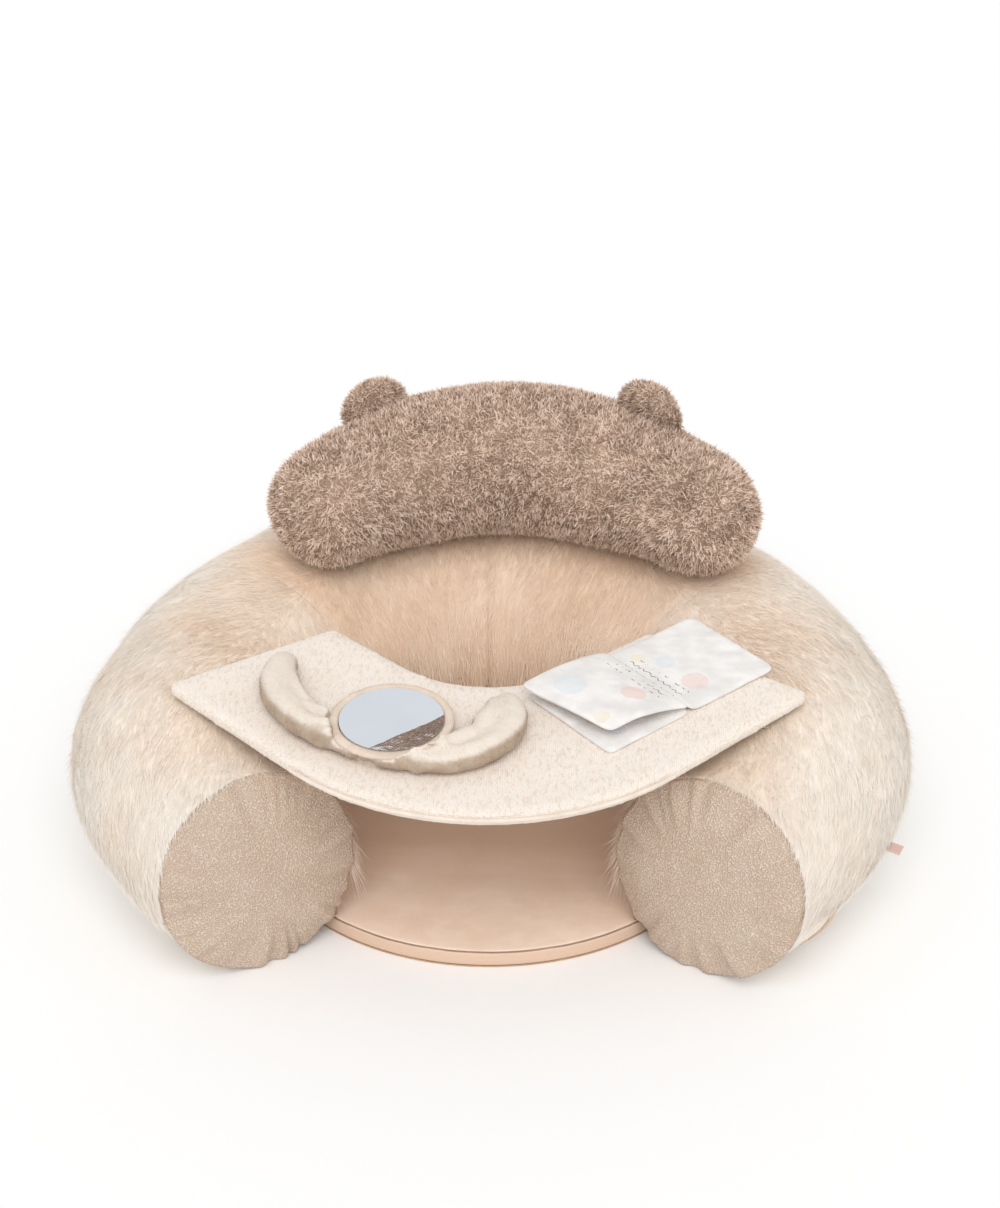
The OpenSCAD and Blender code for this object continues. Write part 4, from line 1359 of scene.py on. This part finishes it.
def middle_height(along, across):
    """The middle page arches over the front page and waves at its free edge."""
    t = along / MIDDLE_LEN
    arch = 0.0085 * np.sin(np.clip(t, 0, 1) * math.pi * 0.85) ** 0.8
    free_edge = 0.0012 * t + 0.0026 * t**2
    twist = across / PAGE_HALF_W * t * 0.0009
    flat = np.stack([along, across, 0 * along], -1)
    return SPINE_UP + arch + free_edge + twist + lumps(flat, 0.022, 9) * 0.0009 * t


# Each page's length from the spine, its height, the seed of its strokes and its round patches
PAGES = {
    "back": (0.093, back_height, 0.2, [
        (0.030, -0.022, 0.011, "EBCFC4"), (0.030, 0.012, 0.008, "D6DFE4"),
        (0.016, 0.030, 0.006, "EBDDC0"),
    ]),
    "middle": (MIDDLE_LEN, middle_height, 0.5, [
        (-0.030, -0.016, 0.010, "EBC9BE"), (-0.062, 0.022, 0.013, "D8E0E6"),
        (-0.070, -0.024, 0.006, "EADFC6"),
    ]),
    "front": (0.083, front_height, 0.8, [
        (-0.060, -0.030, 0.007, "D3DCE6"), (-0.070, 0.028, 0.009, "ECD6CB"),
    ]),
}


def page_place(cube, name, long, height):
    """Where the points of a finely divided cube lie on a page, in the book's own axes: along it
    from the spine, across it and up."""
    x, y, z = cube.T
    edge = np.maximum(np.abs(x), np.abs(y))
    corner = np.clip((np.abs(x) - 0.86) / 0.14, 0, 1) * np.clip((np.abs(y) - 0.86) / 0.14, 0, 1)
    draw_in = 1 - corner * 0.035
    along = (x * draw_in + 1) / 2 * long
    across = y * draw_in * PAGE_HALF_W
    rest = np.clip((1 - edge) / 0.05, 0, 1)
    stitched = np.exp(-(((edge - 0.90) / 0.022) ** 2))
    crown = 0.36 + 0.64 * np.sqrt(rest) - 0.34 * stitched
    flat = np.stack([along, across, 0 * along + PAGE_HALF_W], -1)
    creases = np.abs(lumps_at(6, (along + across) / 0.009, (along - across) / 0.03, z))
    pucker = lumps(flat, 0.016, 4) * 0.0007 - creases * 0.0009
    pucker = pucker + np.abs(lumps(flat, 0.007, 5)) * 0.0004
    wave = lumps(flat, 0.02, 3) * 0.0011 * smooth(along / 0.02) * smooth((edge - 0.5) * 2)
    padding = z * (0.0021 * crown + pucker * (z > 0) * rest)
    up = height(along, across) + padding + np.maximum(wave, -0.0002)
    if name == "middle":
        curl = along / long * (1 - across / PAGE_HALF_W) / 2
        along, across, up = along - curl * 0.017, across + curl * 0.009, up + curl**2 * 0.0004
    return np.stack([along * (1 if name == "back" else -1), across, up], -1)


def padded_page(name, long, height, finish):
    """A padded page of the book."""
    bpy.ops.object.select_all(action="DESELECT")
    bpy.ops.mesh.primitive_cube_add(size=2)
    page = bpy.context.object
    page.name = page.data.name = f"page_{name}"
    edit(page, lambda: bpy.ops.mesh.subdivide(number_cuts=29))
    turn = np.array(BOOK.to_3x3())
    local = page_place(coords(page), name, long, height)
    set_coords(page, local @ turn.T + np.array(BOOK.translation))
    edit(page, outside_out)
    round_off(page)
    body = "book" if name == "back" else f"book_{name}_page"
    return placed(page, body, finish, [f"book_{name}_page"])


class FLOORSEAT_OT_cloth_book(bpy.types.Operator):
    """Makes the soft book: its back page, its middle page and its front page"""

    bl_idname = "floorseat.cloth_book"
    bl_label = "Cloth book"

    def execute(self, context):
        settings = context.scene.floorseat_cloth
        for name, (long, height, seed, patches) in PAGES.items():
            finish = page_finish(f"{name.capitalize()} page print", settings, patches, seed)
            padded_page(name, long, height, finish)
        return {"FINISHED"}


# ---- Inside ----


class FLOORSEAT_OT_inner_parts(bpy.types.Operator):
    """Finishes the air chamber, its valve and the zip"""

    bl_idname = "floorseat.inner_parts"
    bl_label = "Air chamber and zip"

    def execute(self, context):
        film = plain_finish("Chamber film", "DDE3E8", "C6CFD6", size=0.02, roughness=0.35)
        dress(film, "chamber_top", "chamber_bottom", "chamber_end_right", "chamber_end_left")
        dress(film, "valve_stem")
        plastic = plain_finish("White plastic", "F0F0EE", "E2E2DE", size=0.01, roughness=0.4)
        dress(plastic, "valve_flap", "valve_plug")
        dress(woven_finish("Zip tape", "DCC7B0", "C4AB91", thread=0.0008), "zip_tape")
        teeth = Finish("Zip coil", roughness=0.45)
        x, y, _ = teeth.axes()
        radius, pitch = 0.344, 0.0016
        bead = (y.bearing(x) * (radius * 2 * math.pi / pitch)).sine() * 0.5 + 0.5
        dress(teeth.done(teeth.blend(bead, "C9B8A2", "EFE3D2"), (bead, 0.0008, 0.9)), "zip_coil")
        metal = plain_finish(
            "Zip metal", "B9A896", "94836F", size=0.004, roughness=0.35, metal=1.0, depth=0.0001
        )
        dress(metal, "zip_slider", "zip_pull")
        return {"FINISHED"}


# ---- Studio ----


# The photo's own viewpoint, what it looks at and its lens, and which way the main light shines
EYE = (0.0523, -1.5273, 0.9700)
LOOKED_AT = Vector((0.008, 0, 0.22473))
SENSOR_W, LENS = 36, 62.18
SUN_WAY = Vector((-0.04, 0.79, -0.85))
SUN_SPREAD = math.radians(50)


def light_room(scene, strength):
    """Gives the room its even light. Where it is seen, mirrored or shines through, it is white."""
    world = bpy.data.worlds.new("Studio room")
    scene.world = world
    world.use_nodes = True
    room = Nodes(world.node_tree)
    background = room.tree.nodes["Background"]
    background.inputs["Color"].default_value = (1, 1, 1, 1)
    path = room.node("ShaderNodeLightPath")
    seen = path["Is Camera Ray"]
    for ray in ("Is Glossy Ray", "Is Transmission Ray"):
        seen = seen.maths("MAXIMUM", seen, path[ray])
    values = {"Value": seen, "To Min": strength, "To Max": 1.0}
    level = room.node("ShaderNodeMapRange", {}, values)[0]
    room.tree.links.new(level.socket, background.inputs["Strength"])


def aimed(name, data, way):
    """Puts a lamp or a camera in the scene that points along way."""
    obj = bpy.data.objects.new(name, data)
    bpy.context.scene.collection.objects.link(obj)
    obj.rotation_euler = way.to_track_quat("-Z", "Y").to_euler()
    return obj


class FLOORSEAT_OT_studio(bpy.types.Operator):
    """Sets up the floor, the lights and the camera"""

    bl_idname = "floorseat.studio"
    bl_label = "Studio"

    def execute(self, context):
        settings = context.scene.floorseat_studio
        scene = context.scene
        scene.view_settings.view_transform = "Standard"
        bpy.ops.object.select_all(action="DESELECT")
        bpy.ops.mesh.primitive_plane_add(size=30, location=(0, 0, 0))
        floor = context.object
        floor.name = "studio_floor"
        finish = Finish("Studio floor", roughness=0.9)
        finish.shader.inputs["Base Color"].default_value = (*settings.floor, 1)
        floor.data.materials.append(finish.material)
        light_room(scene, settings.world)
        lamp = bpy.data.lights.new("key_light", "SUN")
        lamp.energy = settings.key
        lamp.angle = SUN_SPREAD
        aimed("key_light", lamp, SUN_WAY)
        camera = bpy.data.cameras.new("camera")
        camera.sensor_fit = "AUTO"
        camera.sensor_width = SENSOR_W
        camera.lens = LENS
        camera.clip_end = 60
        scene.camera = aimed("camera", camera, LOOKED_AT - Vector(EYE))
        scene.camera.location = EYE
        return {"FINISHED"}


class FLOORSEAT_PT_panel(bpy.types.Panel):
    """Lists the steps and settings of the floor seat"""

    bl_idname = "FLOORSEAT_PT_panel"
    bl_label = "Floor seat"
    bl_space_type = "VIEW_3D"
    bl_region_type = "UI"
    bl_category = "Floor seat"

    def draw(self, context):
        for group in SETTINGS:
            box = self.layout.box()
            settings = getattr(context.scene, group)
            for name in settings.bl_rna.properties.keys():
                if name not in ("rna_type", "name"):
                    box.prop(settings, name)
        for operator in OPERATORS:
            self.layout.operator(operator.bl_idname)


SETTINGS = {
    "floorseat_fur": FurSettings,
    "floorseat_headrest": HeadrestSettings,
    "floorseat_cloth": ClothSettings,
    "floorseat_studio": StudioSettings,
}
OPERATORS = [
    FLOORSEAT_OT_studio,
    FLOORSEAT_OT_fur_cover,
    FLOORSEAT_OT_lower_cloth,
    FLOORSEAT_OT_foot_ends,
    FLOORSEAT_OT_floor_mat,
    FLOORSEAT_OT_headrest,
    FLOORSEAT_OT_play_tray,
    FLOORSEAT_OT_mirror_toy,
    FLOORSEAT_OT_cloth_book,
    FLOORSEAT_OT_inner_parts,
]


def register():
    for kind in (*SETTINGS.values(), *OPERATORS, FLOORSEAT_PT_panel):
        bpy.utils.register_class(kind)
    for group, kind in SETTINGS.items():
        setattr(bpy.types.Scene, group, PointerProperty(type=kind))


def unregister():
    for group in SETTINGS:
        delattr(bpy.types.Scene, group)
    for kind in reversed((*SETTINGS.values(), *OPERATORS, FLOORSEAT_PT_panel)):
        bpy.utils.unregister_class(kind)


def main():
    """Makes the whole seat."""
    register()
    bpy.ops.floorseat.studio()
    bpy.ops.floorseat.fur_cover()
    bpy.ops.floorseat.lower_cloth()
    bpy.ops.floorseat.foot_ends()
    bpy.ops.floorseat.floor_mat()
    bpy.ops.floorseat.headrest()
    bpy.ops.floorseat.play_tray()
    bpy.ops.floorseat.mirror_toy()
    bpy.ops.floorseat.cloth_book()
    bpy.ops.floorseat.inner_parts()
    bpy.ops.object.select_all(action="DESELECT")


if __name__ == "__main__":
    main()
